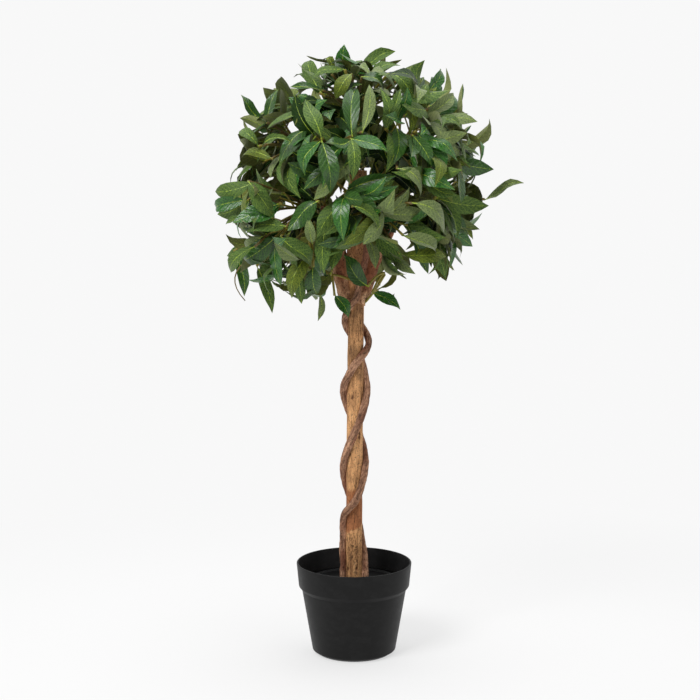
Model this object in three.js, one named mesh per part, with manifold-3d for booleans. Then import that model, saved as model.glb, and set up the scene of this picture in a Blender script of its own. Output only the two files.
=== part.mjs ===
// Standard bay topiary, artificial: a ball crown of leaf sprays on a straight wooden stem,
// with two lianas wound round it, planted in a round tapered pot.
// Millimetres, +Z up. The origin is the middle of the pot's flat underside.

import * as THREE from "three";
import { mergeVertices } from "three/addons/utils/BufferGeometryUtils.js";
import Module from "manifold-3d";

// ---- Driving dimensions ----------------------------------------------------------------

const GAP = 0.3; // clearance between pieces that touch
const UP = new THREE.Vector3(0, 0, 1);

const POT = {
  rimRadius: 85,
  rimHeight: 136,
  lipDrop: 2.5, // height of the rounded lip at the top of the band
  lipRound: 0.4, // how much narrower the lip is where it starts
  bandRadius: 81.7, // the upright band under the rim
  bandHeight: 101.5,
  stepRadius: 76.3, // the tapered body starts here, under the band
  stepHeight: 91,
  footRadius: 60.6,
  footRound: 6, // rounding between the body and the flat underside
  wall: 2.5,
  floor: 3,
  curveSteps: 2,
  segments: 36,
};

const FILL = {
  height: 106, // level surface round the stem's foot
  ridgeRadius: 67, // raised ring near the wall
  ridgeRise: 2.2,
  ridgeWidth: 3,
};

const TRUNK = {
  footRadius: 11.8, // slight flare where it enters the fill
  radius: 10.9,
  forkRadius: 10.6,
  tipRadius: 8.6,
  flareHeight: 30,
  forkHeight: 545,
  tipHeight: 712,
  lean: 5, // the tip stands this far to the right of the foot
  sides: 12,
  steps: 14,
};

const LIANA = {
  radius: 5.5,
  tipRadius: 4.4,
  coilRadius: 16.9, // from the trunk's middle to the liana's
  upright: 10, // it leaves the fill straight up for this far
  perQuarter: 3, // points of its route from one quarter turn to the next
  sides: 6,
  steps: 38,
};
// Each liana stands on the fill beside the trunk and winds anticlockwise as it rises, seen
// from above. heights: where it passes the foot's bearing and each quarter turn after it.
// bows: how much further out than coilRadius it stands there.
const LIANAS = [
  {
    name: "liana_left",
    footBearing: 180,
    heights: [196, 230, 283, 341, 393, 434, 464, 497],
    bows: [1.0, 0, 0, 0.4, 1.6, 0.4, 3.6, 0],
    tip: [[-2, 20.5, 530], [4, 30, 570], [12, 42, 612]],
  },
  {
    name: "liana_right",
    footBearing: 0,
    heights: [122, 214, 277, 334, 393, 457, 497, 531],
    bows: [0.4, 0, 0.6, 0, 1.4, 0, 0.8, 0],
    tip: [[9, -19, 560], [16, -24, 590], [18, -34, 620]],
  },
];

// The two limbs of the fork, from inside the trunk to the tip that carries a mass.
const BOUGH = { steps: 8, sides: 8 };
const BOUGHS = [
  {
    name: "bough_left",
    route: [[-3, 4, 512], [-15, 5, 540], [-22, 0, 580], [-32, -7, 622], [-42, -13, 662]],
    radius: 8.2,
    tipRadius: 5.6,
  },
  {
    name: "bough_right",
    route: [[4, 2, 520], [18, 3, 548], [31, 1, 585], [48, -4, 625], [66, -8, 652]],
    radius: 8,
    tipRadius: 5.2,
  },
];

const CROWN = {
  centre: new THREE.Vector3(4, 0, 700),
  hubDistance: 88, // from the centre to where a mass's stem splits into twigs
  lowest: 484, // no leaf hangs below this height
  cellMargin: 0.5, // a mass stays this far inside the planes between masses
};

// Masses of leaves: bearing and elevation of each one's axis from the crown's centre, how
// far its leaves reach, what its stem stands on, and its hub's distance if it has its own.
const MASSES = [
  { name: "mass_top", bearing: 0, elevation: 90, reach: 191, from: { tip: "trunk" } },
  { name: "mass_upper_1", bearing: 28, elevation: 27, reach: 212, from: { height: 676 } },
  { name: "mass_upper_2", bearing: 100, elevation: 27, reach: 192, from: { height: 690 } },
  { name: "mass_upper_3", bearing: 172, elevation: 27, reach: 194, from: { height: 672 } },
  { name: "mass_upper_4", bearing: 244, elevation: 27, reach: 186, from: { height: 688 } },
  { name: "mass_upper_5", bearing: 316, elevation: 27, reach: 210, from: { height: 664 } },
  { name: "mass_lower_1", bearing: 352, elevation: -27, reach: 198, from: { tip: "bough_right" } },
  { name: "mass_lower_2", bearing: 64, elevation: -27, reach: 198, from: { tip: "liana_left" } },
  { name: "mass_lower_3", bearing: 136, elevation: -27, reach: 206, from: { height: 590 } },
  { name: "mass_lower_4", bearing: 208, elevation: -27, reach: 222, from: { tip: "bough_left" } },
  { name: "mass_lower_5", bearing: 280, elevation: -27, reach: 202, from: { tip: "liana_right" } },
  { name: "mass_under_1", bearing: 212, elevation: -72, reach: 200, from: { height: 550 }, hub: 142 },
  { name: "mass_under_2", bearing: 335, elevation: -72, reach: 196, from: { height: 512 }, hub: 142 },
];

const STEM = {
  radius: 3,
  hubRadius: 2.6,
  knee: 26, // it leaves the trunk along a line this long, rising by kneeRise degrees
  kneeRise: 30,
  tipKnee: 15.6, // the same where it carries on from a limb's tip
  steps: 4,
  sides: 5,
};
const TWIG = {
  radius: 1.9,
  tipRadius: 1.6,
  bow: 9,
  sunk: 2, // from the hub back into the stem
  clear: 1,
  outward: 0.6, // how far a whorl turns from its twig's line to straight outward
  steps: 2,
  sides: 3,
};

// Twig tips stand on an even spiral over the ball, each owned by the nearest mass.
const TIPS = {
  count: 90,
  lowestSine: -0.93, // none grows straight down beside the trunk
  inset: 51, // from the mass's reach to its twig tips
  jitter: 18,
  goldenTurn: 137.508, // degrees from one tip to the next round the upright axis
  bearingJitter: 14,
  fromPlane: 4, // a tip stays this far inside its mass's space
  pull: 0.08, // step by which a tip is drawn in until it does
};

const LEAF = {
  length: 71,
  lengthSpread: 0.13,
  halfWidth: 14,
  widest: 0.47, // share of the length
  arch: 1.6,
  rootHalf: 0.7, // half the root's height
  rootDepth: 1.4, // from the twig's tip back to the first leaf of its whorl
  rootStep: 3.6, // and on from leaf to leaf
  neck: 0.04, // share of the length that is root, where leaves may meet
  attempts: 27,
  swingStep: 19, // degrees that a leaf is turned aside by at each attempt
  clear: 5.5, // between a leaf's edges and a limb's surface
  whorl: 5,
  sideAt: 0.56, // one more leaf stands this far along each twig
  tiltLow: 46, // angle between a whorl's leaf and its twig, degrees
  tiltHigh: 84,
  tiltSide: 58, // the same for the leaves along twigs and stems
  tiltCuts: [1, 0.75, 0.5], // shares of its angle that a leaf tries in turn
  droop: 0.42, // pull towards the ground, against a unit vector along the leaf
  topDroop: 0.1, // share of that pull on the crown's very top
  faceRoll: 0.5, // how far a leaf's upper side turns from straight outward
  inner: 4, // leaves round each stem, inside the crown
  innerAt: 0.5, // share of the stem where they start
  innerStep: 0.12,
};

// The crown is open in front of the fork: leaves and twigs keep clear of this round channel,
// from the boughs out to the front, so that the wood shows.
const OPENING = { start: [10, -20, 562], end: [10, -215, 586], radius: 34 };

// Single leaves that stand out of the ball or hang into its opening: the mass, the twig's tip
// and the leaf's tip. Their upper sides face the front and the sky.
const STRAY_FACE = { bearing: 270, elevation: 40 };
const STRAYS = [
  { mass: "mass_lower_1", twigTip: [186, -14, 672], leafTip: [242, -18, 699] },
  { mass: "mass_lower_4", twigTip: [-172, -20, 598], leafTip: [-156, -26, 532] },
  { mass: "mass_lower_4", twigTip: [-138, -50, 580], leafTip: [-116, -54, 513] },
  { mass: "mass_under_1", twigTip: [-50, -46, 540], leafTip: [-52, -50, 487] },
  { mass: "mass_under_1", twigTip: [-28, -34, 536], leafTip: [-8, -38, 505] },
  { mass: "mass_under_1", twigTip: [-12, -46, 588], leafTip: [16, -52, 549] },
  { mass: "mass_under_2", twigTip: [26, -34, 540], leafTip: [66, -42, 517] },
  { mass: "mass_lower_5", twigTip: [11, -74, 634], leafTip: [32, -72, 577] },
  { mass: "mass_lower_5", twigTip: [34, -74, 636], leafTip: [51, -68, 582] },
  { mass: "mass_upper_3", twigTip: [-128, 8, 784], leafTip: [-161, 8, 822] },
  { mass: "mass_top", twigTip: [6, -8, 852], leafTip: [58, -12, 884] },
  { mass: "mass_top", twigTip: [-12, 2, 846], leafTip: [-14, -2, 890] },
];

// Repeatable scatter: a sine wave of the seed and three whole numbers.
const SCATTER = { seed: 16, weights: [12.9898, 78.233, 37.719], size: 43758.5453 };
// The third number, which tells apart the values drawn for one twig or leaf.
const DRAW = {
  bearing: 1,
  reach: 2,
  turn: 3,
  whorl: 4,
  tilt: 5,
  leaf: 6,
  sideTurn: 7,
  side: 8,
  innerTurn: 9,
  inner: 10,
  face: 50,
};

// ---- Small helpers ---------------------------------------------------------------------

const wasm = await Module();
wasm.setup();

const radians = THREE.MathUtils.degToRad;
const mix = THREE.MathUtils.lerp;
const vector = ([x, y, z]) => new THREE.Vector3(x, y, z);

// A repeatable value from 0 to 1 for three whole numbers.
function chance(...keys) {
  const phase = keys.reduce((sum, key, i) => sum + key * SCATTER.weights[i], SCATTER.seed);
  const wave = Math.sin(phase) * SCATTER.size;
  return wave - Math.floor(wave);
}

// Unit vector at a bearing (anticlockwise from +X, seen from above) and an elevation.
function heading(bearing, elevation) {
  const flat = Math.cos(radians(elevation));
  return new THREE.Vector3(
    flat * Math.cos(radians(bearing)),
    flat * Math.sin(radians(bearing)),
    Math.sin(radians(elevation)),
  );
}

// Closed geometry from corner points and triangles.
function closed(corners, triangles) {
  const geometry = new THREE.BufferGeometry();
  geometry.setAttribute("position", new THREE.Float32BufferAttribute(corners.flatMap((c) => [...c]), 3));
  geometry.setIndex(triangles.flat());
  return geometry;
}

// A tapering limb along a curve: rings of points, closed by a flat cut at each end.
function limb(curve, radiusAt, steps, sides) {
  const frames = curve.computeFrenetFrames(steps, false);
  const corners = [];
  const triangles = [];
  for (let i = 0; i <= steps; i++) {
    const middle = curve.getPointAt(i / steps);
    for (let j = 0; j < sides; j++) {
      const turn = (j / sides) * 2 * Math.PI;
      const out = frames.normals[i].clone().multiplyScalar(Math.cos(turn));
      out.addScaledVector(frames.binormals[i], Math.sin(turn));
      corners.push(middle.clone().addScaledVector(out, radiusAt(i / steps)));
    }
  }
  for (let i = 0; i < steps; i++) {
    for (let j = 0; j < sides; j++) {
      const a = i * sides + j;
      const b = i * sides + ((j + 1) % sides);
      triangles.push([a, b, b + sides], [a, b + sides, a + sides]);
    }
  }
  const last = steps * sides;
  for (let j = 1; j < sides - 1; j++) {
    triangles.push([0, j + 1, j], [last, last + j, last + j + 1]);
  }
  return closed(corners, triangles);
}

// A closed geometry as a solid that can be joined and cut, and back again.
function solidOf(geometry) {
  const bare = geometry.clone();
  bare.deleteAttribute("normal");
  bare.deleteAttribute("uv");
  const merged = mergeVertices(bare, 1e-4);
  return new wasm.Manifold(
    new wasm.Mesh({
      numProp: 3,
      vertProperties: new Float32Array(merged.attributes.position.array),
      triVerts: new Uint32Array(merged.index.array),
    }),
  );
}

function geometryOf(solid) {
  const mesh = solid.getMesh();
  const geometry = new THREE.BufferGeometry();
  geometry.setAttribute("position", new THREE.Float32BufferAttribute(mesh.vertProperties, 3));
  geometry.setIndex([...mesh.triVerts]);
  return geometry;
}

// Joins solids and keeps the one outer body: sealed hollows are filled, scraps are dropped.
function fused(solids) {
  const bodies = solids.reduce((whole, solid) => whole.add(solid)).decompose();
  return bodies.reduce((best, body) => (body.volume() > best.volume() ? body : best));
}

// Whether the segment a-b passes through the triangle p, q, r.
function pierces(a, b, [p, q, r]) {
  const along = b.clone().sub(a);
  const reach = along.length();
  const hit = new THREE.Vector3();
  const ray = new THREE.Ray(a, along.divideScalar(reach));
  return ray.intersectTriangle(p, q, r, false, hit) !== null && hit.distanceTo(a) < reach;
}

// Shortest distance between the segments a-b and c-d.
function segmentDistance(a, b, c, d) {
  const ab = b.clone().sub(a);
  const cd = d.clone().sub(c);
  const ca = a.clone().sub(c);
  const abab = ab.dot(ab);
  const cdcd = cd.dot(cd);
  const abcd = ab.dot(cd);
  const cdca = cd.dot(ca);
  const abca = ab.dot(ca);
  const spread = abab * cdcd - abcd * abcd;
  const clamp = (value) => Math.min(1, Math.max(0, value));
  let s = spread > 1e-9 ? clamp((abcd * cdca - abca * cdcd) / spread) : 0;
  const t = clamp((abcd * s + cdca) / cdcd);
  s = clamp((abcd * t - abca) / abab);
  return a.clone().addScaledVector(ab, s).distanceTo(c.clone().addScaledVector(cd, t));
}

// The straight stretches of a limb, each with the radius that others keep clear of.
function stretches(curve, radiusAt, steps) {
  const points = curve.getSpacedPoints(steps);
  return points.slice(1).map((end, i) => ({
    start: points[i],
    end,
    radius: Math.max(radiusAt(i / steps), radiusAt((i + 1) / steps)),
  }));
}

// ---- Pot and its fill ------------------------------------------------------------------

// A closed outline, radius against height, turned about the upright axis.
function turned(outline) {
  return new THREE.LatheGeometry(outline.getPoints(POT.curveSteps), POT.segments).rotateX(Math.PI / 2);
}

// Inner radius of the pot's wall at a height, following the outer taper and step.
function innerRadius(height) {
  const { wall, footRadius, stepRadius, stepHeight, bandRadius, bandHeight, rimHeight, rimRadius } = POT;
  if (height < stepHeight) return mix(footRadius, stepRadius, height / stepHeight) - wall;
  if (height < bandHeight) {
    return mix(stepRadius, bandRadius, (height - stepHeight) / (bandHeight - stepHeight)) - wall;
  }
  return mix(bandRadius, rimRadius, (height - bandHeight) / (rimHeight - bandHeight)) - wall;
}

function potGeometry() {
  const { rimRadius, rimHeight, lipDrop, wall, floor, footRadius, footRound } = POT;
  const outline = new THREE.Path();
  outline.moveTo(0, 0);
  outline.lineTo(footRadius - footRound, 0);
  const taper = mix(footRadius, POT.stepRadius, footRound / POT.stepHeight);
  outline.quadraticCurveTo(footRadius, 0, taper, footRound);
  outline.lineTo(POT.stepRadius, POT.stepHeight);
  outline.lineTo(POT.bandRadius, POT.bandHeight);
  outline.lineTo(rimRadius - POT.lipRound, rimHeight - lipDrop);
  outline.quadraticCurveTo(rimRadius, rimHeight, rimRadius - wall / 2, rimHeight);
  outline.quadraticCurveTo(rimRadius - wall, rimHeight, innerRadius(rimHeight), rimHeight - lipDrop);
  outline.lineTo(innerRadius(POT.bandHeight), POT.bandHeight);
  outline.lineTo(innerRadius(POT.stepHeight), POT.stepHeight);
  outline.lineTo(innerRadius(floor), floor);
  outline.lineTo(0, floor);
  return turned(outline);
}

function fillGeometry() {
  const { height, ridgeRadius, ridgeRise, ridgeWidth } = FILL;
  const edge = (at) => innerRadius(at) - 2 * GAP;
  const outline = new THREE.Path();
  outline.moveTo(0, POT.floor + GAP);
  outline.lineTo(edge(POT.floor + GAP), POT.floor + GAP);
  outline.lineTo(edge(POT.stepHeight), POT.stepHeight);
  outline.lineTo(edge(POT.bandHeight), POT.bandHeight);
  outline.lineTo(edge(height), height);
  outline.lineTo(ridgeRadius + ridgeWidth, height);
  outline.quadraticCurveTo(ridgeRadius, height + 2 * ridgeRise, ridgeRadius - ridgeWidth, height);
  outline.lineTo(0, height);
  return turned(outline);
}

// ---- Trunk, lianas and boughs ----------------------------------------------------------

const ground = FILL.height + GAP;

const trunkCurve = new THREE.CatmullRomCurve3([
  new THREE.Vector3(0, 0, ground),
  new THREE.Vector3(0, 0, ground + 60),
  new THREE.Vector3(TRUNK.lean * 0.2, 0, 320),
  new THREE.Vector3(TRUNK.lean * 0.6, 0, TRUNK.forkHeight),
  new THREE.Vector3(TRUNK.lean, 0, TRUNK.tipHeight),
]);

function trunkRadius(share) {
  const height = mix(ground, TRUNK.tipHeight, share);
  if (height > TRUNK.forkHeight) {
    const above = (height - TRUNK.forkHeight) / (TRUNK.tipHeight - TRUNK.forkHeight);
    return mix(TRUNK.forkRadius, TRUNK.tipRadius, above);
  }
  const flare = Math.max(0, 1 - (height - ground) / TRUNK.flareHeight) ** 2;
  const taper = mix(TRUNK.radius, TRUNK.forkRadius, (height - ground) / (TRUNK.forkHeight - ground));
  return taper + (TRUNK.footRadius - TRUNK.radius) * flare;
}

// The trunk's middle at a height.
function trunkAt(height) {
  return trunkCurve.getPointAt((height - ground) / (TRUNK.tipHeight - ground));
}

// A liana's route: height, bearing and distance from the trunk run smoothly from one quarter
// turn to the next, and its tip then leaves the trunk for its mass.
function lianaCurve({ footBearing, heights, bows, tip }) {
  const foot = TRUNK.footRadius + LIANA.radius + GAP;
  const knots = [
    [ground, footBearing, foot],
    [ground + LIANA.upright, footBearing, foot],
    ...heights.map((height, i) => [height, footBearing + 90 * i, LIANA.coilRadius + bows[i]]),
  ];
  const winding = new THREE.CatmullRomCurve3(knots.map(vector), false, "catmullrom", 0.5);
  const coil = winding.getPoints((knots.length - 1) * LIANA.perQuarter);
  const route = coil.map(({ x: height, y: bearing, z: out }) =>
    trunkAt(height).setZ(height).addScaledVector(heading(bearing, 0), out),
  );
  return new THREE.CatmullRomCurve3([...route, ...tip.map(vector)]);
}

// Even as far as half way up, then tapering to the tip.
const lianaRadius = (share) => mix(LIANA.radius, LIANA.tipRadius, Math.max(0, share - 0.5) * 2);

// Every limb: its curve, its radius along it and the stretches that others keep clear of.
const limbs = new Map();

function addLimb(name, curve, radiusAt, steps, sides) {
  limbs.set(name, { curve, radiusAt, steps, sides, stretches: stretches(curve, radiusAt, steps) });
}

addLimb("trunk", trunkCurve, trunkRadius, TRUNK.steps, TRUNK.sides);
for (const liana of LIANAS) addLimb(liana.name, lianaCurve(liana), lianaRadius, LIANA.steps, LIANA.sides);
for (const { name, route, radius, tipRadius } of BOUGHS) {
  const curve = new THREE.CatmullRomCurve3(route.map(vector));
  addLimb(name, curve, (share) => mix(radius, tipRadius, share), BOUGH.steps, BOUGH.sides);
}

function limbGeometry(name, extra = 0) {
  const { curve, radiusAt, steps, sides } = limbs.get(name);
  return limb(curve, (share) => radiusAt(share) + extra, steps, sides);
}

// The room that the trunk needs, which a bough or stem is cut back to.
const trunkRoom = solidOf(limbGeometry("trunk", GAP / Math.cos(Math.PI / TRUNK.sides)));

const boughGeometry = (name) => geometryOf(solidOf(limbGeometry(name)).subtract(trunkRoom));

// ---- Masses of leaves ------------------------------------------------------------------

for (const mass of MASSES) mass.axis = heading(mass.bearing, mass.elevation);

// How far a point lies inside a mass's space, whose sides are planes through the centre.
function inside(mass, point) {
  const from = point.clone().sub(CROWN.centre);
  return Math.min(
    ...MASSES.filter((other) => other !== mass).map((other) =>
      from.dot(mass.axis.clone().sub(other.axis).normalize()),
    ),
  );
}

// A mass's one stem, from the trunk's middle or just past a limb's tip to the mass's hub.
function stemCurve(mass) {
  const hub = CROWN.centre.clone().addScaledVector(mass.axis, mass.hub ?? CROWN.hubDistance);
  if (mass.from.tip) {
    const { curve } = limbs.get(mass.from.tip);
    const onward = curve.getTangentAt(1);
    const start = curve.getPointAt(1).addScaledVector(onward, GAP);
    const knee = start.clone().addScaledVector(onward, STEM.tipKnee);
    return new THREE.QuadraticBezierCurve3(start, knee, hub);
  }
  const start = trunkAt(mass.from.height);
  const knee = start.clone().addScaledVector(heading(mass.bearing, STEM.kneeRise), STEM.knee);
  return new THREE.QuadraticBezierCurve3(start, knee, hub);
}

const twigRadius = (share) => mix(TWIG.radius, TWIG.tipRadius, share);
const stemRadius = (share) => mix(STEM.radius, STEM.hubRadius, share);
for (const mass of MASSES) {
  mass.stem = stemCurve(mass);
  mass.stretches = stretches(mass.stem, stemRadius, STEM.steps);
}

const opening = { start: vector(OPENING.start), end: vector(OPENING.end), radius: OPENING.radius };

// Whether a set of edges stays clear of every limb, the other masses' stems and the opening.
function clearOfLimbs(mass, edges, clearance) {
  const others = MASSES.filter((other) => other !== mass);
  const blocks = [...limbs.values(), ...others].flatMap((one) => one.stretches);
  return [...blocks, opening].every(({ start, end, radius }) =>
    edges.every(([a, b]) => segmentDistance(a, b, start, end) > radius + clearance),
  );
}

// The five corners of a leaf: its root's top and bottom, the widest pair and the tip.
function leafCorners(root, along, face, length) {
  const side = along.clone().cross(face).normalize();
  const lift = side.clone().cross(along);
  const at = (x, y, z) =>
    root.clone().addScaledVector(side, x).addScaledVector(along, y).addScaledVector(lift, z);
  const { rootHalf, halfWidth, widest, arch } = LEAF;
  const half = (halfWidth * length) / LEAF.length;
  return [
    at(0, 0, rootHalf),
    at(0, 0, -rootHalf),
    at(half, length * widest, arch),
    at(-half, length * widest, arch),
    at(0, length, 0),
  ];
}

// The leaf's blade, without its root, as edges and triangles to test for crossings.
function bladeOf(corners) {
  const [root, , left, right, tip] = corners;
  const neck = root.clone().lerp(tip, LEAF.neck);
  return {
    edges: [[neck, left], [left, tip], [tip, right], [right, neck], [neck, tip]],
    faces: [[neck, left, tip], [neck, tip, right]],
  };
}

function crosses(one, other) {
  return (
    one.edges.some(([a, b]) => other.faces.some((face) => pierces(a, b, face))) ||
    other.edges.some(([a, b]) => one.faces.some((face) => pierces(a, b, face)))
  );
}

// Faces, and the edges to keep clear of limbs, by the order of a leaf's corners.
const LEAF_FACES = [
  [0, 2, 3], [2, 4, 3], [0, 1, 2], [0, 3, 1], [1, 4, 2], [1, 3, 4],
];
const LEAF_EDGES = [
  [0, 2], [0, 3], [2, 3], [2, 4], [3, 4], [1, 4],
];

// A leaf is kept if it stays in its mass's space, within reach, and clear of the limbs.
function leafFits(mass, corners) {
  const tip = corners[4];
  if (tip.distanceTo(CROWN.centre) > mass.reach || tip.z < CROWN.lowest) return false;
  if (corners.some((corner) => inside(mass, corner) < CROWN.cellMargin)) return false;
  const edges = LEAF_EDGES.map(([a, b]) => [corners[a], corners[b]]);
  return clearOfLimbs(mass, edges, LEAF.clear);
}

// One leaf at a place on a twig, turned aside in steps until it fits and crosses no leaf or
// twig of its mass, and left out if it never does. root is where it stands, way is the
// twig's direction, turn its bearing round the twig and tilt its angle from the twig.
function leafAt(mass, grown, { root, way, turn, tilt }, keys) {
  const across = new THREE.Vector3().crossVectors(way, UP);
  if (across.lengthSq() < 1e-4) across.set(1, 0, 0);
  across.normalize();
  const upward = across.clone().cross(way);
  const length = LEAF.length * (1 + LEAF.lengthSpread * (2 * chance(...keys) - 1));
  const outward = root.clone().sub(CROWN.centre).normalize();
  const droop = LEAF.droop * mix(1, LEAF.topDroop, Math.max(0, outward.z));
  const roll = LEAF.faceRoll * (chance(keys[0], keys[1], keys[2] + DRAW.face) - 0.5);
  const face = outward.clone().addScaledVector(across, roll).normalize();
  for (let attempt = 0; attempt < LEAF.attempts; attempt++) {
    const swing = turn + radians(LEAF.swingStep) * Math.ceil(attempt / 2) * (attempt % 2 ? 1 : -1);
    const bend = tilt * LEAF.tiltCuts[attempt % LEAF.tiltCuts.length];
    const along = way.clone().multiplyScalar(Math.cos(bend));
    along.addScaledVector(across, Math.sin(bend) * Math.cos(swing));
    along.addScaledVector(upward, Math.sin(bend) * Math.sin(swing));
    along.addScaledVector(UP, -droop).normalize();
    const corners = leafCorners(root, along, face, length);
    if (!leafFits(mass, corners)) continue;
    const blade = bladeOf(corners);
    if (grown.some((other) => crosses(blade, other))) continue;
    grown.push(blade);
    return closed(corners, LEAF_FACES);
  }
  return null;
}

// The twig tips that belong to a mass, from the even spiral over the ball.
function tipsOf(mass) {
  const tips = [];
  for (let k = 0; k < TIPS.count; k++) {
    const elevation = THREE.MathUtils.radToDeg(Math.asin(mix(1, TIPS.lowestSine, (k + 0.5) / TIPS.count)));
    const way = heading(k * TIPS.goldenTurn + TIPS.bearingJitter * chance(k, 0, DRAW.bearing), elevation);
    const out = mass.reach - TIPS.inset - TIPS.jitter * chance(k, 0, DRAW.reach);
    const tip = CROWN.centre.clone().addScaledVector(way, out);
    if (inside(mass, tip) < 0) continue;
    while (inside(mass, tip) < TIPS.fromPlane) {
      way.lerp(mass.axis, TIPS.pull).normalize();
      tip.copy(CROWN.centre).addScaledVector(way, out);
    }
    tips.push({ k, tip });
  }
  return tips;
}

// The twigs of a mass, each a curve from the hub to one of its tips, clear of every limb.
function twigsOf(mass) {
  const start = mass.stem.getPoint(1).addScaledVector(mass.axis, -TWIG.sunk);
  const twigs = [];
  for (const { k, tip } of tipsOf(mass)) {
    const bend = start.clone().lerp(tip, 0.5).addScaledVector(mass.axis, TWIG.bow);
    const curve = new THREE.QuadraticBezierCurve3(start, bend, tip);
    const points = curve.getPoints(TWIG.steps);
    const edges = points.slice(1).map((end, i) => [points[i], end]);
    if (clearOfLimbs(mass, edges, TWIG.radius + TWIG.clear)) twigs.push({ k, tip, curve, edges });
  }
  return twigs;
}

// The leaves inside the crown, round a mass's stem.
function innerLeaves(mass, grown, key) {
  const leaves = [];
  for (let j = 0; j < LEAF.inner; j++) {
    const at = LEAF.innerAt + LEAF.innerStep * j;
    const root = mass.stem.getPoint(at);
    const way = mass.stem.getTangent(at);
    const turn = radians((360 / LEAF.inner) * (j + chance(key, j, DRAW.innerTurn)));
    const tilt = radians(LEAF.tiltSide);
    leaves.push(leafAt(mass, grown, { root, way, turn, tilt }, [key, j, DRAW.inner]));
  }
  return leaves.filter((leaf) => leaf);
}

// The leaves of one twig: a whorl at its tip and one on the way.
function leavesOf(mass, grown, { k, tip, curve }) {
  const outward = tip.clone().sub(CROWN.centre).normalize();
  const way = curve.getTangent(1).lerp(outward, TWIG.outward).normalize();
  const leaves = [];
  for (let j = 0; j < LEAF.whorl; j++) {
    const share = j + 0.5 * chance(k, j, DRAW.turn) + chance(k, 0, DRAW.whorl);
    const turn = radians((360 / LEAF.whorl) * share);
    const tilt = radians(mix(LEAF.tiltLow, LEAF.tiltHigh, chance(k, j, DRAW.tilt)));
    const root = tip.clone().addScaledVector(curve.getTangent(1), -LEAF.rootDepth - LEAF.rootStep * j);
    leaves.push(leafAt(mass, grown, { root, way, turn, tilt }, [k, j, DRAW.leaf]));
  }
  const root = curve.getPoint(LEAF.sideAt);
  const turn = Math.PI * chance(k, 0, DRAW.sideTurn);
  const side = { root, way: curve.getTangent(LEAF.sideAt), turn, tilt: radians(LEAF.tiltSide) };
  leaves.push(leafAt(mass, grown, side, [k, 0, DRAW.side]));
  return leaves.filter((leaf) => leaf);
}

// A stray leaf and its twig, from the mass's hub.
function strayPieces(mass, { twigTip, leafTip }) {
  const hub = mass.stem.getPoint(1).addScaledVector(mass.axis, -TWIG.sunk);
  const end = vector(twigTip);
  const bend = hub.clone().lerp(end, 0.5).addScaledVector(UP, TWIG.bow);
  const curve = new THREE.QuadraticBezierCurve3(hub, bend, end);
  const along = vector(leafTip).sub(end).normalize();
  const face = heading(STRAY_FACE.bearing, STRAY_FACE.elevation);
  const root = end.clone().addScaledVector(along, -LEAF.rootDepth);
  const corners = leafCorners(root, along, face, root.distanceTo(vector(leafTip)));
  return [limb(curve, twigRadius, TWIG.steps, TWIG.sides), closed(corners, LEAF_FACES)];
}

function massGeometry(mass) {
  const stem = limb(mass.stem, stemRadius, STEM.steps, STEM.sides);
  const twigs = twigsOf(mass);
  const stalks = twigs.map(({ curve }) => limb(curve, twigRadius, TWIG.steps, TWIG.sides));
  const ownStrays = STRAYS.filter((stray) => stray.mass === mass.name);
  const strays = ownStrays.flatMap((stray) => strayPieces(mass, stray));
  const grown = twigs.map(({ edges }) => ({ edges, faces: [] }));
  const leaves = twigs.flatMap((twig) => leavesOf(mass, grown, twig));
  leaves.push(...innerLeaves(mass, grown, MASSES.indexOf(mass)));
  const whole = fused([stem, ...stalks, ...strays, ...leaves].map(solidOf));
  return geometryOf(mass.from.tip ? whole : fused([whole.subtract(trunkRoom)]));
}

// ---- Assembly --------------------------------------------------------------------------

const part = new THREE.Group();

const finish = (color, roughness) => new THREE.MeshStandardMaterial({ color, roughness, metalness: 0 });

function add(name, geometry, color, roughness) {
  const mesh = new THREE.Mesh(geometry, finish(color, roughness));
  mesh.name = name;
  part.add(mesh);
}

add("pot", potGeometry(), 0x2c2c2d, 0.5);
add("pot_fill", fillGeometry(), 0x1b1b1c, 0.8);
add("trunk", limbGeometry("trunk"), 0xb08a5c, 0.75);
for (const { name } of LIANAS) add(name, limbGeometry(name), 0x6e4f40, 0.85);
for (const { name } of BOUGHS) add(name, boughGeometry(name), 0x7a4d33, 0.85);
for (const mass of MASSES) add(mass.name, massGeometry(mass), 0x3f5c38, 0.6);

export default part;
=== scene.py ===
"""Finishes an artificial bay standard: a ball of fabric leaves on a wooden stem, in a plain pot.

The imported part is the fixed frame. Its plain solids are replaced by fine meshes that follow the
same curves and the same growth rule: the stem and its two lianas with the relief of their bark,
the fork's two boughs, the yellow-green stems and twigs, the leaves, and the pot with its fill.
Growth is worked out in millimetres, as in the part's source, and turned into metres when a mesh
is made. +Z is up and the plant's front faces -Y.
"""

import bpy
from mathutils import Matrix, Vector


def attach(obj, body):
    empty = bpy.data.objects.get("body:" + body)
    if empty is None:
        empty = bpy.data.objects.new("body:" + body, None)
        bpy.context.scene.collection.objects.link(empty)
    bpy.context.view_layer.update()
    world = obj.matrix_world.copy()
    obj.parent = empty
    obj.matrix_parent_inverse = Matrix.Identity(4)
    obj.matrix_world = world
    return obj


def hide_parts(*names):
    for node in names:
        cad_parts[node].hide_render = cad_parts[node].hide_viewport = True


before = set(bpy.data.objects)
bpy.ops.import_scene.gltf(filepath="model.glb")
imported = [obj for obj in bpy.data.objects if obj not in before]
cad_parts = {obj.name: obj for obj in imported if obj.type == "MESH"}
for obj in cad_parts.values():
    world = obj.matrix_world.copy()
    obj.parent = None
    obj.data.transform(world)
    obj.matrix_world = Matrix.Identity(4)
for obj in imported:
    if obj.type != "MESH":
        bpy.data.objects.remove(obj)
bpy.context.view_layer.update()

import logging
import math
from dataclasses import dataclass, field
from enum import Enum, IntEnum
from typing import Callable, Iterable, Sequence

import bpy
import numpy as np

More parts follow.
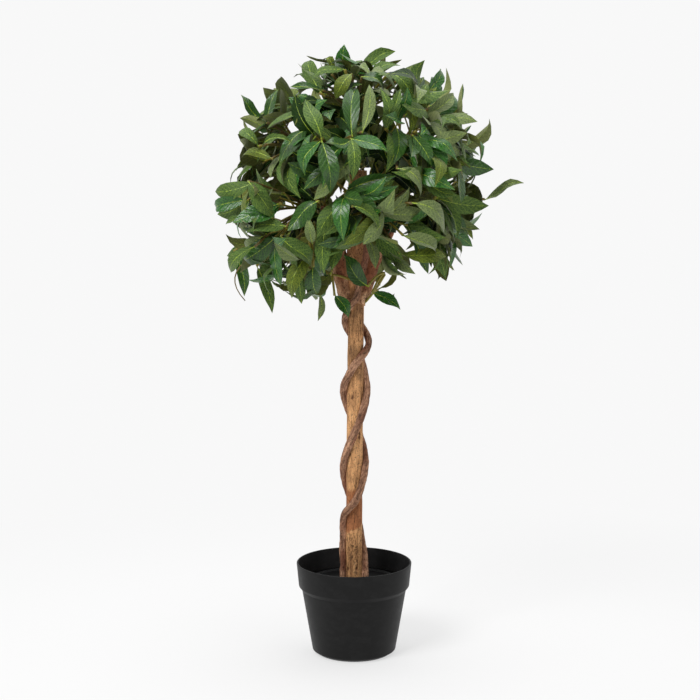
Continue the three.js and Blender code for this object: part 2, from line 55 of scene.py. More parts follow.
logging.basicConfig(level=logging.INFO, format="%(message)s")
LOG = logging.getLogger("bay standard")

Array = np.ndarray
Colour = tuple[float, float, float]
Point = tuple[float, float, float]
Radius = Callable[[Array], Array]

MM = 0.001
BODY = "root"
UP = np.array([0.0, 0.0, 1.0])
GAP = 0.3  # clearance between solids, in millimetres
EYE = np.array([-6.0, -2600.0, 853.0])  # where the plant is seen from, in millimetres
HALF_CHANNEL = 240.0  # half the length of a channel through the whole crown
GOLDEN_TURN = 137.508  # degrees from one twig tip to the next on the even spiral


# ---- Numbers and curves -------------------------------------------------------------------


def unit(vectors: Array) -> Array:
    """Scales vectors to length one.

    Args:
        vectors: Vectors along the last axis.

    Returns:
        The same directions with length one.
    """
    return vectors / np.maximum(np.linalg.norm(vectors, axis=-1, keepdims=True), 1e-12)


def mix(start: Array, end: Array, share: Array) -> Array:
    """Goes from start to end in a straight line as share goes from 0 to 1."""
    return start + (end - start) * share


def smooth_step(low: float, high: float, value: Array) -> Array:
    """Rises from 0 at low to 1 at high along 3t^2 - 2t^3, flat at both ends.

    Args:
        low: Value below which the result is 0.
        high: Value above which the result is 1.
        value: Where to read the step.

    Returns:
        The height of the step at each value.
    """
    t = np.clip((value - low) / (high - low), 0.0, 1.0)
    return t * t * (3.0 - 2.0 * t)


def heading(bearing: Array, elevation: Array) -> Array:
    """Unit vector at a bearing, anticlockwise from +X seen from above, and an elevation.

    Args:
        bearing: Degrees round the upright axis.
        elevation: Degrees above the level.

    Returns:
        (cos e cos b, cos e sin b, sin e) along the last axis.
    """
    b, e = np.broadcast_arrays(np.radians(bearing), np.radians(elevation))
    return np.stack([np.cos(e) * np.cos(b), np.cos(e) * np.sin(b), np.sin(e)], axis=-1)


@dataclass(frozen=True)
class Scatter:
    """Repeatable scatter: the fraction of a large sine wave of the seed and whole numbers."""

    seed: float = 16.0
    weights: tuple[float, float, float] = (12.9898, 78.233, 37.719)
    size: float = 43758.5453

    def draw(self, *keys: Array) -> Array:
        """A value from 0 to 1 for up to three whole numbers.

        Args:
            keys: The numbers, or arrays of them.

        Returns:
            frac(size * sin(seed + sum of key * weight)).
        """
        phase = self.seed
        for key, weight in zip(keys, self.weights):
            phase = phase + key * weight
        wave = np.sin(phase) * self.size
        return wave - np.floor(wave)


SCATTER = Scatter()


class Draw(IntEnum):
    """The third number of a draw, which tells apart the values drawn for one twig or leaf."""

    BEARING = 1
    REACH = 2
    TURN = 3
    WHORL = 4
    TILT = 5
    LEAF = 6
    SIDE_TURN = 7
    SIDE = 8
    INNER_TURN = 9
    INNER = 10
    FINE_TURN = 11
    FINE_REACH = 12
    FINE_TILT = 13
    FINE = 14
    FACE = 50


class Curve:
    """A curve in space, read by a share from 0 to 1."""

    divisions = 200
    nudge = 1e-4

    def at(self, share: Array) -> Array:
        """Points at shares of the curve's own parameter."""
        raise NotImplementedError

    def along(self, share: Array) -> Array:
        """Unit tangents at shares of the curve's own parameter, from two near points."""
        low, high = (np.clip(np.asarray(share) + d, 0.0, 1.0) for d in (-self.nudge, self.nudge))
        return unit(self.at(high) - self.at(low))

    def length_table(self) -> tuple[Array, Array]:
        """Adds up the curve's length in straight steps.

        Returns:
            Shares of the parameter, and the length up to each.
        """
        shares = np.linspace(0.0, 1.0, self.divisions + 1)
        steps = np.linalg.norm(np.diff(self.at(shares), axis=0), axis=1)
        return shares, np.concatenate([[0.0], np.cumsum(steps)])

    def length(self) -> float:
        """The curve's whole length."""
        return float(self.length_table()[1][-1])

    def even_share(self, share: Array) -> Array:
        """The parameter at shares of the curve's length."""
        shares, lengths = self.length_table()
        return np.interp(np.asarray(share) * lengths[-1], lengths, shares)

    def even_at(self, share: Array) -> Array:
        """Points at shares of the curve's length."""
        return self.at(self.even_share(share))

    def even_along(self, share: Array) -> Array:
        """Unit tangents at shares of the curve's length."""
        return self.along(self.even_share(share))


class Bend(Curve):
    """A quadratic Bezier curve: (1-t)^2 start + 2t(1-t) knee + t^2 end."""

    def __init__(self, start: Array, knee: Array, end: Array) -> None:
        """Takes the curve's three points."""
        self.start, self.knee, self.end = (np.asarray(p, float) for p in (start, knee, end))

    def at(self, share: Array) -> Array:
        """Points at shares of the curve's own parameter."""
        t = np.asarray(share, float)[..., None]
        return (1 - t) ** 2 * self.start + 2 * t * (1 - t) * self.knee + t**2 * self.end


class Knots(Enum):
    """How a spline spaces its knots."""

    EVEN = 0.0
    CENTRIPETAL = 0.5


class Spline(Curve):
    """A Catmull-Rom curve through points: one cubic a span, with end points mirrored outwards."""

    def __init__(self, points: Array, knots: Knots = Knots.CENTRIPETAL) -> None:
        """Takes the points and adds the mirrored ones.

        Args:
            points: Points that the curve passes through, one to a row.
            knots: The way that their knots are spaced.
        """
        inner = np.asarray(points, float)
        first, last = 2 * inner[0] - inner[1], 2 * inner[-1] - inner[-2]
        self.points = np.vstack([first, inner, last])
        self.knots = knots

    def at(self, share: Array) -> Array:
        """Points at shares of the curve's own parameter.

        The tangents at a span's two ends are those of the curve through its four points with
        knots spaced by (distance ** knots), scaled to the span; the cubic is Hermite's.

        Args:
            share: Shares from 0 to 1, each span taking an equal part.

        Returns:
            One point for each share.
        """
        spans = len(self.points) - 3
        place = np.asarray(share, float) * spans
        span = np.clip(np.floor(place).astype(int), 0, spans - 1)
        t = (place - span)[..., None]
        p0, p1, p2, p3 = (self.points[span + i] for i in range(4))
        power = self.knots.value
        d0, d1, d2 = (
            np.linalg.norm(b - a, axis=-1, keepdims=True) ** power
            for a, b in ((p0, p1), (p1, p2), (p2, p3))
        )
        start = ((p1 - p0) / d0 - (p2 - p0) / (d0 + d1) + (p2 - p1) / d1) * d1
        end = ((p2 - p1) / d1 - (p3 - p1) / (d1 + d2) + (p3 - p2) / d2) * d1
        cubic = 2 * p1 - 2 * p2 + start + end
        square = 3 * p2 - 3 * p1 - 2 * start - end
        return p1 + start * t + square * t**2 + cubic * t**3


def grain(around: Array, along: Array, cells: int, key: float) -> Array:
    """Smooth value noise on a sleeve: lattice values blended by 3t^2 - 2t^3.

    Args:
        around: Place round the sleeve, from 0 to 1, which closes on itself.
        along: Place along the sleeve, in cells.
        cells: Number of cells round the sleeve.
        key: Number that tells this layer from the others.

    Returns:
        Values from 0 to 1.
    """
    x = around * cells
    column, row = np.floor(x), np.floor(along)
    u, v = smooth_step(0.0, 1.0, x - column), smooth_step(0.0, 1.0, along - row)
    low, high = (
        mix(*(SCATTER.draw((column + i) % cells, row + j, key) for i in (0, 1)), u)
        for j in (0, 1)
    )
    return mix(low, high, v)


@dataclass(frozen=True)
class Layer:
    """A layer of noise on a sleeve: its cells' length in millimetres, their number and its key."""

    length: float
    cells: int
    key: float

    def at(self, around: Array, along: Array) -> Array:
        """Values from 0 to 1 at places round the sleeve, from 0 to 1, and along it."""
        return grain(around, along / self.length, self.cells, self.key)


# ---- Meshes -------------------------------------------------------------------------------


def add_piece(
    name: str,
    points: Array,
    faces: Sequence[Sequence[int]],
    materials: Sequence[bpy.types.Material],
    nodes: Iterable[str] = (),
) -> bpy.types.Object:
    """Makes one smooth-shaded mesh piece of the plant.

    Args:
        name: The piece's name.
        points: Vertices in millimetres, three to a row.
        faces: Vertex numbers of each face, anticlockwise seen from outside.
        materials: The piece's materials, in the order of its faces' indices.
        nodes: Names of the part's solids that this piece replaces.

    Returns:
        The new object, at the origin, riding on the plant's one body.
    """
    mesh = bpy.data.meshes.new(name)
    mesh.from_pydata((points.reshape(-1, 3) * MM).tolist(), [], faces)
    mesh.polygons.foreach_set("use_smooth", np.ones(len(mesh.polygons), bool))
    for material in materials:
        mesh.materials.append(material)
    mesh.update()
    piece = bpy.data.objects.new(name, mesh)
    bpy.context.scene.collection.objects.link(piece)
    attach(piece, BODY)
    if nodes:
        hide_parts(*nodes)
    return piece


def set_attribute(piece: bpy.types.Object, name: str, values: Array) -> None:
    """Stores a number or a vector on each vertex, for the materials to read.

    Args:
        piece: The piece.
        name: The attribute's name.
        values: One value, or one row of three, for each vertex.
    """
    single = values.size == len(piece.data.vertices)
    kind, slot = ("FLOAT", "value") if single else ("FLOAT_VECTOR", "vector")
    layer = piece.data.attributes.new(name, kind, "POINT")
    layer.data.foreach_set(slot, np.ascontiguousarray(values, np.float32).ravel())


def set_sharp(piece: bpy.types.Object, sharp: Callable[[Array, Array], Array]) -> None:
    """Marks the edges that shading breaks at.

    Args:
        piece: The piece.
        sharp: Says which edges are sharp, from the vertex numbers of their two ends.
    """
    mesh = piece.data
    ends = np.empty(2 * len(mesh.edges), np.int32)
    mesh.edges.foreach_get("vertices", ends)
    ends = ends.reshape(-1, 2)
    layer = mesh.attributes.new("sharp_edge", "BOOLEAN", "EDGE")
    layer.data.foreach_set("value", sharp(ends[:, 0], ends[:, 1]))


def sleeve_faces(count: int, rows: int, sides: int) -> tuple[Array, Array]:
    """Faces of closed sleeves of rings of points, one after the other.

    Args:
        count: Number of sleeves.
        rows: Rings in each.
        sides: Points in each ring, anticlockwise seen from the sleeve's far end.

    Returns:
        The quads, four vertex numbers to a row, and the two end caps of each sleeve, sides
        vertex numbers to a row: every sleeve's near cap, then every far cap.
    """
    start = (np.arange(count) * rows * sides)[:, None, None]
    row = (np.arange(rows - 1) * sides)[None, :, None]
    a = np.arange(sides)[None, None, :]
    b = (a + 1) % sides
    base = start + row
    corners = [base + a, base + b, base + b + sides, base + a + sides]
    quads = np.stack(corners, axis=-1).reshape(-1, 4)
    near = start[:, :, 0] + np.arange(sides)[::-1]
    far = start[:, :, 0] + (rows - 1) * sides + np.arange(sides)
    return quads, np.vstack([near, far])


def sleeves(middles: Array, radii: Array, sides: int) -> Array:
    """Rings of points along many gently bent lines.

    Each ring's points are middle + r (n cos a + m sin a), where n is square to the line and to
    the world axis that the line is least parallel to, and m is square to both.

    Args:
        middles: Lines of points: line, place along it, coordinate.
        radii: Radius at each of those points.
        sides: Points in each ring.

    Returns:
        Points: line, place along it, place round it, coordinate.
    """
    along = unit(np.gradient(middles, axis=1))
    chord = unit(middles[:, -1] - middles[:, 0])
    least = np.eye(3)[np.argmin(np.abs(chord), axis=1)][:, None, :]
    n = unit(np.cross(along, np.broadcast_to(least, along.shape)))
    m = np.cross(along, n)
    angle = np.linspace(0.0, 2 * math.pi, sides, endpoint=False)
    ring = n[:, :, None] * np.cos(angle)[:, None] + m[:, :, None] * np.sin(angle)[:, None]
    return middles[:, :, None] + ring * radii[:, :, None, None]


def turned_faces(rows: int, sides: int) -> list[list[int]]:
    """Faces of a turned shape whose profile starts and ends on the axis.

    Args:
        rows: Rings between the two end points.
        sides: Points in each ring.

    Returns:
        Fans round vertex 0 and the last vertex, and quads between the rings.
    """
    a = np.arange(sides)
    b = (a + 1) % sides
    last = 1 + rows * sides
    quads = sleeve_faces(1, rows, sides)[0] + 1
    first_fan = np.stack([0 * a, b + 1, a + 1], axis=1)
    top = 1 + (rows - 1) * sides
    last_fan = np.stack([0 * a + last, top + a, top + b], axis=1)
    return first_fan.tolist() + quads.tolist() + last_fan.tolist()


def turned_points(profile: Array, sides: int) -> Array:
    """Turns a profile round the upright axis: (r cos a, r sin a, z) for each of its points.

    Args:
        profile: Radius and height, from a point on the axis to another.
        sides: Points in each ring.

    Returns:
        The first point, the rings and the last point, three coordinates to a row.
    """
    angle = np.linspace(0.0, 2 * math.pi, sides, endpoint=False)
    r, z = profile[1:-1, :1], profile[1:-1, 1:]
    rings = np.stack([r * np.cos(angle), r * np.sin(angle), z + 0 * angle], axis=-1).reshape(-1, 3)
    ends = np.array([[0.0, 0.0, profile[0, 1]], [0.0, 0.0, profile[-1, 1]]])
    return np.vstack([ends[:1], rings, ends[1:]])


# ---- Finishes -----------------------------------------------------------------------------


def linear(red: int, green: int, blue: int) -> Colour:
    """Turns a screen colour into linear light, by the usual curve for screens.

    Args:
        red: Red from 0 to 255.
        green: Green from 0 to 255.
        blue: Blue from 0 to 255.

    Returns:
        The colour's three parts as light, from 0 to 1.
    """
    parts = np.array([red, green, blue]) / 255.0
    light = np.where(parts <= 0.04045, parts / 12.92, ((parts + 0.055) / 1.055) ** 2.4)
    return tuple(light.tolist())


class Shader:
    """A material's node tree, built up from outputs that feed its principled shader."""

    def __init__(self, name: str) -> None:
        """Starts a material.

        Args:
            name: The material's name.
        """
        self.material = bpy.data.materials.new(name)
        self.material.use_nodes = True
        self.tree = self.material.node_tree
        self.surface = self.tree.nodes["Principled BSDF"]

    def node(self, kind: str, inputs: dict | None = None, **settings: object) -> bpy.types.Node:
        """Adds a node.

        Args:
            kind: The node's type name.
            inputs: Values or outputs for its inputs, by name or number.
            settings: Values for its own properties.

        Returns:
            The node.
        """
        node = self.tree.nodes.new(kind)
        for name, value in settings.items():
            setattr(node, name, value)
        for name, value in (inputs or {}).items():
            self.feed(node.inputs[name], value)
        return node

    def feed(self, socket: bpy.types.NodeSocket, value: object) -> None:
        """Links an output to a socket, or sets the socket's own value.

        Args:
            socket: The input.
            value: An output, or a value; three numbers make an opaque colour.
        """
        if isinstance(value, bpy.types.NodeSocket):
            self.tree.links.new(value, socket)
        elif isinstance(value, tuple) and len(value) == 3 and socket.type == "RGBA":
            socket.default_value = (*value, 1.0)
        else:
            socket.default_value = value

    def set(self, **values: object) -> None:
        """Sets or links the principled shader's inputs, with underscores for spaces."""
        for name, value in values.items():
            self.feed(self.surface.inputs[name.replace("_", " ")], value)

    def place(self, scale: Point = (1.0, 1.0, 1.0)) -> bpy.types.NodeSocket:
        """The object's own coordinates in metres, stretched by scale."""
        coordinates = self.node("ShaderNodeTexCoord").outputs["Object"]
        return self.node("ShaderNodeMapping", {"Vector": coordinates, "Scale": scale}).outputs[0]

    def stored(self, name: str) -> bpy.types.NodeSocket:
        """A number that is stored on the mesh."""
        return self.node("ShaderNodeAttribute", attribute_name=name).outputs["Fac"]

    def along_fibre(self, stretch: float) -> bpy.types.NodeSocket:
        """The straightened place that is stored on a bark mesh, stretched along the limb."""
        vector = self.node("ShaderNodeAttribute", attribute_name="fibre").outputs["Vector"]
        inputs = {"Vector": vector, "Scale": (1.0, 1.0, stretch)}
        return self.node("ShaderNodeMapping", inputs).outputs[0]

    def noise(
        self, vector: object, scale: float, detail: float = 3.0, rough: float = 0.55
    ) -> bpy.types.NodeSocket:
        """Noise from about 0 to 1 over a vector."""
        inputs = {"Vector": vector, "Scale": scale, "Detail": detail, "Roughness": rough}
        return self.node("ShaderNodeTexNoise", inputs).outputs["Fac"]

    def ramp(self, factor: object, stops: Sequence[tuple[float, object]]) -> object:
        """A colour or grey between stops.

        Args:
            factor: The output that is read.
            stops: Place of each stop and its colour, or a number for a grey.

        Returns:
            The ramp's colour output.
        """
        node = self.node("ShaderNodeValToRGB", {"Fac": factor})
        elements = node.color_ramp.elements
        while len(elements) < len(stops):
            elements.new(0.5)
        for element, (place, value) in zip(elements, stops):
            element.position = place
            grey = isinstance(value, (int, float))
            element.color = (value, value, value, 1.0) if grey else (*value, 1.0)
        return node.outputs["Color"]

    def blend(self, factor: object, first: object, second: object, kind: str = "MIX") -> object:
        """Mixes two colours.

        Args:
            factor: How much of the second shows, from 0 to 1.
            first: The colour below.
            second: The colour above.
            kind: How the two are mixed.

        Returns:
            The mixed colour's output.
        """
        node = self.node("ShaderNodeMix", data_type="RGBA", blend_type=kind)
        for number, value in ((0, factor), (6, first), (7, second)):
            self.feed(node.inputs[number], value)
        return node.outputs[2]

    def math(self, kind: str, *values: object) -> object:
        """A sum of one to three numbers."""
        return self.node("ShaderNodeMath", dict(enumerate(values)), operation=kind).outputs[0]

    def bump(self, height: object, distance: float, strength: float = 1.0) -> None:
        """Raises the surface's shading by height times distance, in metres."""
        inputs = {"Height": height, "Distance": distance, "Strength": strength}
        self.feed(self.surface.inputs["Normal"], self.node("ShaderNodeBump", inputs).outputs[0])


@dataclass(frozen=True)
class PotPlastic:
    """Black injection-moulded plastic, satin, a little scuffed, with a fine mould texture."""

    colour: Colour = linear(26, 26, 26)
    worn: Colour = linear(38, 38, 38)
    roughness: tuple[float, float] = (0.4, 0.55)
    specular: float = 0.13
    scuff_scale: float = 55.0
    scuff_squash: float = 1.6
    grain_scale: float = 900.0
    grain_depth: float = 0.00006
    grain_strength: float = 0.35

    def material(self, name: str) -> bpy.types.Material:
        """Makes the finish.

        Args:
            name: The material's name.

        Returns:
            The material.
        """
        shader = Shader(name)
        scuffs = shader.noise(
            shader.place((1.0, 1.0, self.scuff_squash)), self.scuff_scale, detail=6.0, rough=0.7
        )
        shader.set(
            Base_Color=shader.ramp(scuffs, [(0.45, self.colour), (0.85, self.worn)]),
            Roughness=shader.ramp(scuffs, [(0.3, self.roughness[0]), (0.7, self.roughness[1])]),
            Specular_IOR_Level=self.specular,
        )
        grains = shader.noise(shader.place(), self.grain_scale, detail=2.0)
        shader.bump(grains, self.grain_depth, self.grain_strength)
        return shader.material


@dataclass(frozen=True)
class FillPlastic:
    """The black moulded disc that closes the pot, dull and slightly dusty."""

    colour: Colour = linear(4, 4, 5)
    dust: Colour = linear(17, 16, 15)
    specular: float = 0.12
    roughness: float = 0.4
    dust_scale: float = 60.0
    grain_scale: float = 420.0
    grain_depth: float = 0.0002
    grain_strength: float = 0.4

    def material(self, name: str) -> bpy.types.Material:
        """Makes the finish.

        Args:
            name: The material's name.

        Returns:
            The material.
        """
        shader = Shader(name)
        cloud = shader.noise(shader.place(), self.dust_scale, detail=6.0, rough=0.65)
        shader.set(
            Base_Color=shader.ramp(cloud, [(0.45, self.colour), (0.85, self.dust)]),
            Roughness=self.roughness,
            Specular_IOR_Level=self.specular,
        )
        grains = shader.noise(shader.place(), self.grain_scale)
        shader.bump(grains, self.grain_depth, self.grain_strength)
        return shader.material


@dataclass(frozen=True)
class Bark:
    """Weathered wood or bark: long fibres, dark in the hollows and paler on what stands proud.

    The mesh stores the straightened place as "fibre", how proud the surface stands as
    "relief", how far a second, redder skin covers it as "skin", and how far it has gone grey
    as "stain".
    """

    hollow: Colour
    body: Colour
    proud: Colour
    skin: Colour
    stain: Colour = linear(92, 68, 49)
    fibre_scale: float = 330.0
    fibre_stretch: float = 0.12
    cloud_scale: float = 75.0
    cloud_stretch: float = 0.35
    speck_scale: float = 760.0
    speck_stretch: float = 0.45
    skin_shade: float = 0.4
    flecks: float = 0.95
    roughness: float = 0.82
    specular: float = 0.25
    depth: float = 0.0017
    depth_strength: float = 0.9

    def material(self, name: str) -> bpy.types.Material:
        """Makes the finish.

        The colour follows 0.95 fibres + 0.6 clouds + 0.5 relief - 0.5, from hollow to proud.

        Args:
            name: The material's name.

        Returns:
            The material.
        """
        shader = Shader(name)
        fine = shader.noise(shader.along_fibre(self.fibre_stretch), self.fibre_scale, 6.0, 0.62)
        broad = shader.noise(shader.along_fibre(self.cloud_stretch), self.cloud_scale, 5.0, 0.65)
        specks = shader.noise(shader.along_fibre(self.speck_stretch), self.speck_scale, 5.0, 0.72)
        relief = shader.math("MULTIPLY", shader.stored("relief"), 0.5)
        lightness = shader.math("MULTIPLY_ADD", broad, 0.6, relief)
        streaks = shader.math("MULTIPLY_ADD", fine, 0.95, shader.math("SUBTRACT", lightness, 0.5))
        wood = shader.ramp(streaks, [(0.16, self.hollow), (0.48, self.body), (0.78, self.proud)])
        stained = shader.blend(shader.stored("stain"), wood, self.stain)
        dark_skin = tuple(self.skin_shade * part for part in self.skin)
        skin = shader.ramp(streaks, [(0.15, dark_skin), (0.60, self.skin)])
        colour = shader.blend(shader.stored("skin"), stained, skin)
        pits = shader.ramp(specks, [(0.38, 0.14), (0.475, 1.0)])
        shader.set(
            Base_Color=shader.blend(self.flecks, colour, pits, "MULTIPLY"),
            Roughness=self.roughness,
            Specular_IOR_Level=self.specular,
        )
        height = shader.math("MULTIPLY_ADD", specks, 0.8, fine)
        shader.bump(height, self.depth, self.depth_strength)
        return shader.material


@dataclass(frozen=True)
class LeafFabric:
    """Printed leaf fabric: one green, with fine side veins pressed in and a soft sheen."""

    name: str
    colour: Colour
    vein: Colour
    roughness: float
    sheen: float = 0.1
    specular: float = 0.2
    sheen_roughness: float = 0.5
    veins: float = 9.0
    vein_sharpness: float = 9.0
    vein_print: float = 0.32
    slant: float = 0.2
    wobble: float = 0.05
    weave_scale: float = 850.0
    weave_print: float = 0.18
    net_scale: float = 340.0
    net_print: float = 0.38
    depth: float = 0.0004
    depth_strength: float = 0.6

    def material(self) -> bpy.types.Material:
        """Makes the finish.

        The veins are ridges at even steps of (along - slant * distance from the midrib), and a
        fine net of printed lines lies between them.

        Returns:
            The material.
        """
        shader = Shader(self.name)
        leaf_map = shader.node("ShaderNodeUVMap", uv_map="leaf").outputs[0]
        place = shader.node("ShaderNodeSeparateXYZ", {0: leaf_map})
        off_rib = shader.math("ABSOLUTE", shader.math("SUBTRACT", place.outputs["Y"], 0.5))
        drift = shader.noise(shader.place(), 160.0, detail=1.0)
        wobble = shader.math("MULTIPLY", drift, self.wobble)
        start = shader.math("SUBTRACT", place.outputs["X"], wobble)
        run = shader.math("MULTIPLY_ADD", off_rib, -2.0 * self.slant, start)
        ridge = shader.math("PINGPONG", shader.math("MULTIPLY", run, self.veins), 0.5)
        vein = shader.math("POWER", shader.math("SUBTRACT", 1.0, ridge), self.vein_sharpness)
        weave = shader.noise(shader.place(), self.weave_scale, rough=0.65)
        mottle = shader.ramp(weave, [(0.35, 0.0), (0.68, 1.0)])
        inputs = {"Vector": shader.place(), "Scale": self.net_scale}
        cells = shader.node("ShaderNodeTexVoronoi", inputs, feature="DISTANCE_TO_EDGE")
        net = shader.ramp(cells.outputs["Distance"], [(0.0, 1.0), (0.24, 0.0)])
        printed = shader.math("MULTIPLY", mottle, self.weave_print)
        printed = shader.math("MULTIPLY_ADD", net, self.net_print, printed)
        tint = shader.math("MULTIPLY_ADD", vein, self.vein_print, printed)
        shader.set(
            Base_Color=shader.blend(tint, self.colour, self.vein),
            Roughness=self.roughness,
            Sheen_Weight=self.sheen,
            Sheen_Roughness=self.sheen_roughness,
            Specular_IOR_Level=self.specular,
        )
        height = shader.math("MULTIPLY_ADD", vein, 1.2, weave)
        shader.bump(height, self.depth, self.depth_strength)
        return shader.material


@dataclass(frozen=True)
class StemPlastic:
    """Moulded plastic of the twigs and midribs."""

    name: str
    colour: Colour
    dull: Colour
    roughness: float = 0.5
    spot_scale: float = 420.0
    grain_scale: float = 700.0
    grain_stretch: float = 0.4
    grain_depth: float = 0.0002
    grain_strength: float = 0.5

    def material(self) -> bpy.types.Material:
        """Makes the finish, broken up by duller spots.

        Returns:
            The material.
        """
        shader = Shader(self.name)
        spots = shader.noise(shader.place(), self.spot_scale, detail=2.0)
        shader.set(
            Base_Color=shader.ramp(spots, [(0.42, self.dull), (0.54, self.colour)]),
            Roughness=self.roughness,
        )
        grains = shader.noise(shader.place((1.0, 1.0, self.grain_stretch)), self.grain_scale)
        shader.bump(grains, self.grain_depth, self.grain_strength)
        return shader.material


# ---- Pot ----------------------------------------------------------------------------------


@dataclass
class Pot:
    """The tapered pot with its upright band and rounded lip, and the disc that closes it."""

    rim_radius: float = 85.0
    rim_height: float = 136.0
    band_radius: float = 81.7
    band_height: float = 101.5
    step_radius: float = 77.0
    step_height: float = 95.5
    foot_radius: float = 60.6
    foot_round: float = 6.0
    wall: float = 2.5
    floor: float = 3.0
    edge_round: float = 0.8
    fill_height: float = 106.0
    ridge_radius: float = 67.0
    ridge_rise: float = 2.2
    ridge_width: float = 3.0
    sides: int = 144

    def inner_radius(self, height: Array) -> Array:
        """The wall's inner radius, following the outside's taper and step.

        Args:
            height: Heights above the ground.

        Returns:
            The radius at each height.
        """
        heights = [0.0, self.step_height, self.band_height, self.rim_height]
        radii = [self.foot_radius, self.step_radius, self.band_radius, self.rim_radius]
        return np.interp(height, heights, radii) - self.wall

    @staticmethod
    def rounded(corners: Array, radii: Sequence[float], steps: int = 5) -> Array:
        """Rounds an outline's corners with parabolic arcs that start a radius before each.

        Args:
            corners: The outline's corner points.
            radii: How far before and after each corner its arc runs, 0 for a kept corner.
            steps: Points in each arc.

        Returns:
            The rounded outline.
        """
        outline = [corners[:1]]
        t = np.linspace(0.0, 1.0, steps)[:, None]
        for i in range(1, len(corners) - 1):
            before, corner, after = corners[i - 1], corners[i], corners[i + 1]
            start = corner + unit(before - corner) * radii[i]
            end = corner + unit(after - corner) * radii[i]
            arc = (1 - t) ** 2 * start + 2 * t * (1 - t) * corner + t**2 * end
            outline.append(arc if radii[i] > 0 else corner[None])
        return np.vstack([*outline, corners[-1:]])

    def build(self) -> None:
        """Makes the pot and the disc in place of the part's two solids."""
        inner = self.inner_radius
        corners = np.array(
            [
                [0.0, 0.0],
                [self.foot_radius - self.foot_round, 0.0],
                [self.foot_radius + 1.0, self.foot_round * 0.8],
                [self.step_radius, self.step_height],
                [self.band_radius, self.band_height],
                [self.rim_radius - 0.1, self.rim_height - 0.4],
                [self.rim_radius - self.wall, self.rim_height],
                [inner(self.band_height), self.band_height],
                [inner(self.step_height), self.step_height],
                [inner(self.floor), self.floor],
                [0.0, self.floor],
            ]
        )
        soft = self.edge_round
        profile = self.rounded(corners, [0, soft, soft, soft, soft, 1.3, 1.0, soft, soft, soft, 0])
        points = turned_points(profile, self.sides)
        faces = turned_faces(len(profile) - 2, self.sides)
        finish = PotPlastic().material("black_pot_plastic")
        add_piece("pot_shell", points, faces, [finish], ["pot"])
        LOG.info("pot_shell: %d faces", len(faces))
        self.build_fill()

    def build_fill(self) -> None:
        """Makes the disc with its raised ring and its level middle."""
        inner = self.inner_radius
        clear = 2 * GAP
        low = self.floor + GAP
        top = self.fill_height
        side = np.linspace(self.ridge_width, -self.ridge_width, 13)
        ring = self.ridge_radius + side
        rise = self.ridge_rise * np.cos(side / self.ridge_width * math.pi / 2) ** 2
        level = np.linspace(self.ridge_radius - self.ridge_width - 1.0, 2.0, 12)
        profile = np.vstack(
            [
                [[0.0, low], [inner(low) - clear, low]],
                [[inner(self.step_height) - clear, self.step_height]],
                [[inner(self.band_height) - clear, self.band_height], [inner(top) - clear, top]],
                np.stack([ring, top + rise], axis=1),
                np.stack([level, 0 * level + top], axis=1),
                [[0.0, top]],
            ]
        )
        points = turned_points(profile, self.sides)
        faces = turned_faces(len(profile) - 2, self.sides)
        finish = FillPlastic().material("dull_black_fill")
        add_piece("pot_cover", points, faces, [finish], ["pot_fill"])
        LOG.info("pot_cover: %d faces", len(faces))


# ---- Trunk, lianas and boughs -------------------------------------------------------------


@dataclass
class Limb:
    """A tapering limb: its curve, its radius by the share of its length, and its stretches."""

    name: str
    curve: Curve
    radius: Radius
    steps: int

    def stretches(self) -> tuple[Array, Array, Array]:
        """Cuts the limb into the straight stretches that others keep clear of.

        Returns:
            The stretches' starts, ends and radii.
        """
        shares = np.linspace(0.0, 1.0, self.steps + 1)
        points = self.curve.even_at(shares)
        radii = self.radius(shares)
        return points[:-1], points[1:], np.maximum(radii[:-1], radii[1:])


class Wood:
    """What the trunk, the lianas and the boughs share: a name, a curve and a radius along it."""

    name: str
    curve: Curve
    steps: int

    def radius_at(self, share: Array) -> Array:
        """Radius by the share of the length."""
        raise NotImplementedError

    def limb(self) -> Limb:
        """The wood as a limb to keep clear of."""
        return Limb(self.name, self.curve, self.radius_at, self.steps)


@dataclass
class Trunk(Wood):
    """The stem: slight taper and lean, a small flare at its foot and a cut tip in the crown."""

    name: str = "trunk"
    ground: float = 106.3
    foot_radius: float = 11.8
    radius: float = 10.9
    fork_radius: float = 10.6
    tip_radius: float = 8.6
    flare_height: float = 30.0
    fork_height: float = 545.0
    tip_height: float = 712.0
    lean: float = 5.0
    steps: int = 14
    rings: int = 520
    sides: int = 112
    curve: Curve = field(init=False)

    def __post_init__(self) -> None:
        """Works out the stem's line."""
        self.curve = Spline(
            np.array(
                [
                    [0.0, 0.0, self.ground],
                    [0.0, 0.0, self.ground + 60.0],
                    [self.lean * 0.2, 0.0, 320.0],
                    [self.lean * 0.6, 0.0, self.fork_height],
                    [self.lean, 0.0, self.tip_height],
                ]
            )
        )

    def radius_at(self, share: Array) -> Array:
        """The radius tapers to the fork and then more, with a squared flare at the foot.

        Args:
            share: Shares of the stem's height.

        Returns:
            The radius at each share.
        """
        height = mix(self.ground, self.tip_height, np.asarray(share, float))
        above = (height - self.fork_height) / (self.tip_height - self.fork_height)
        below = (height - self.ground) / (self.fork_height - self.ground)
        flare = np.maximum(0.0, 1.0 - (height - self.ground) / self.flare_height) ** 2
        lower = mix(self.radius, self.fork_radius, below) + (self.foot_radius - self.radius) * flare
        upper = mix(self.fork_radius, self.tip_radius, above)
        return np.where(height > self.fork_height, upper, lower)

    def middle(self, height: Array) -> Array:
        """The stem's middle at heights."""
        share = (np.asarray(height) - self.ground) / (self.tip_height - self.ground)
        return self.curve.even_at(share)


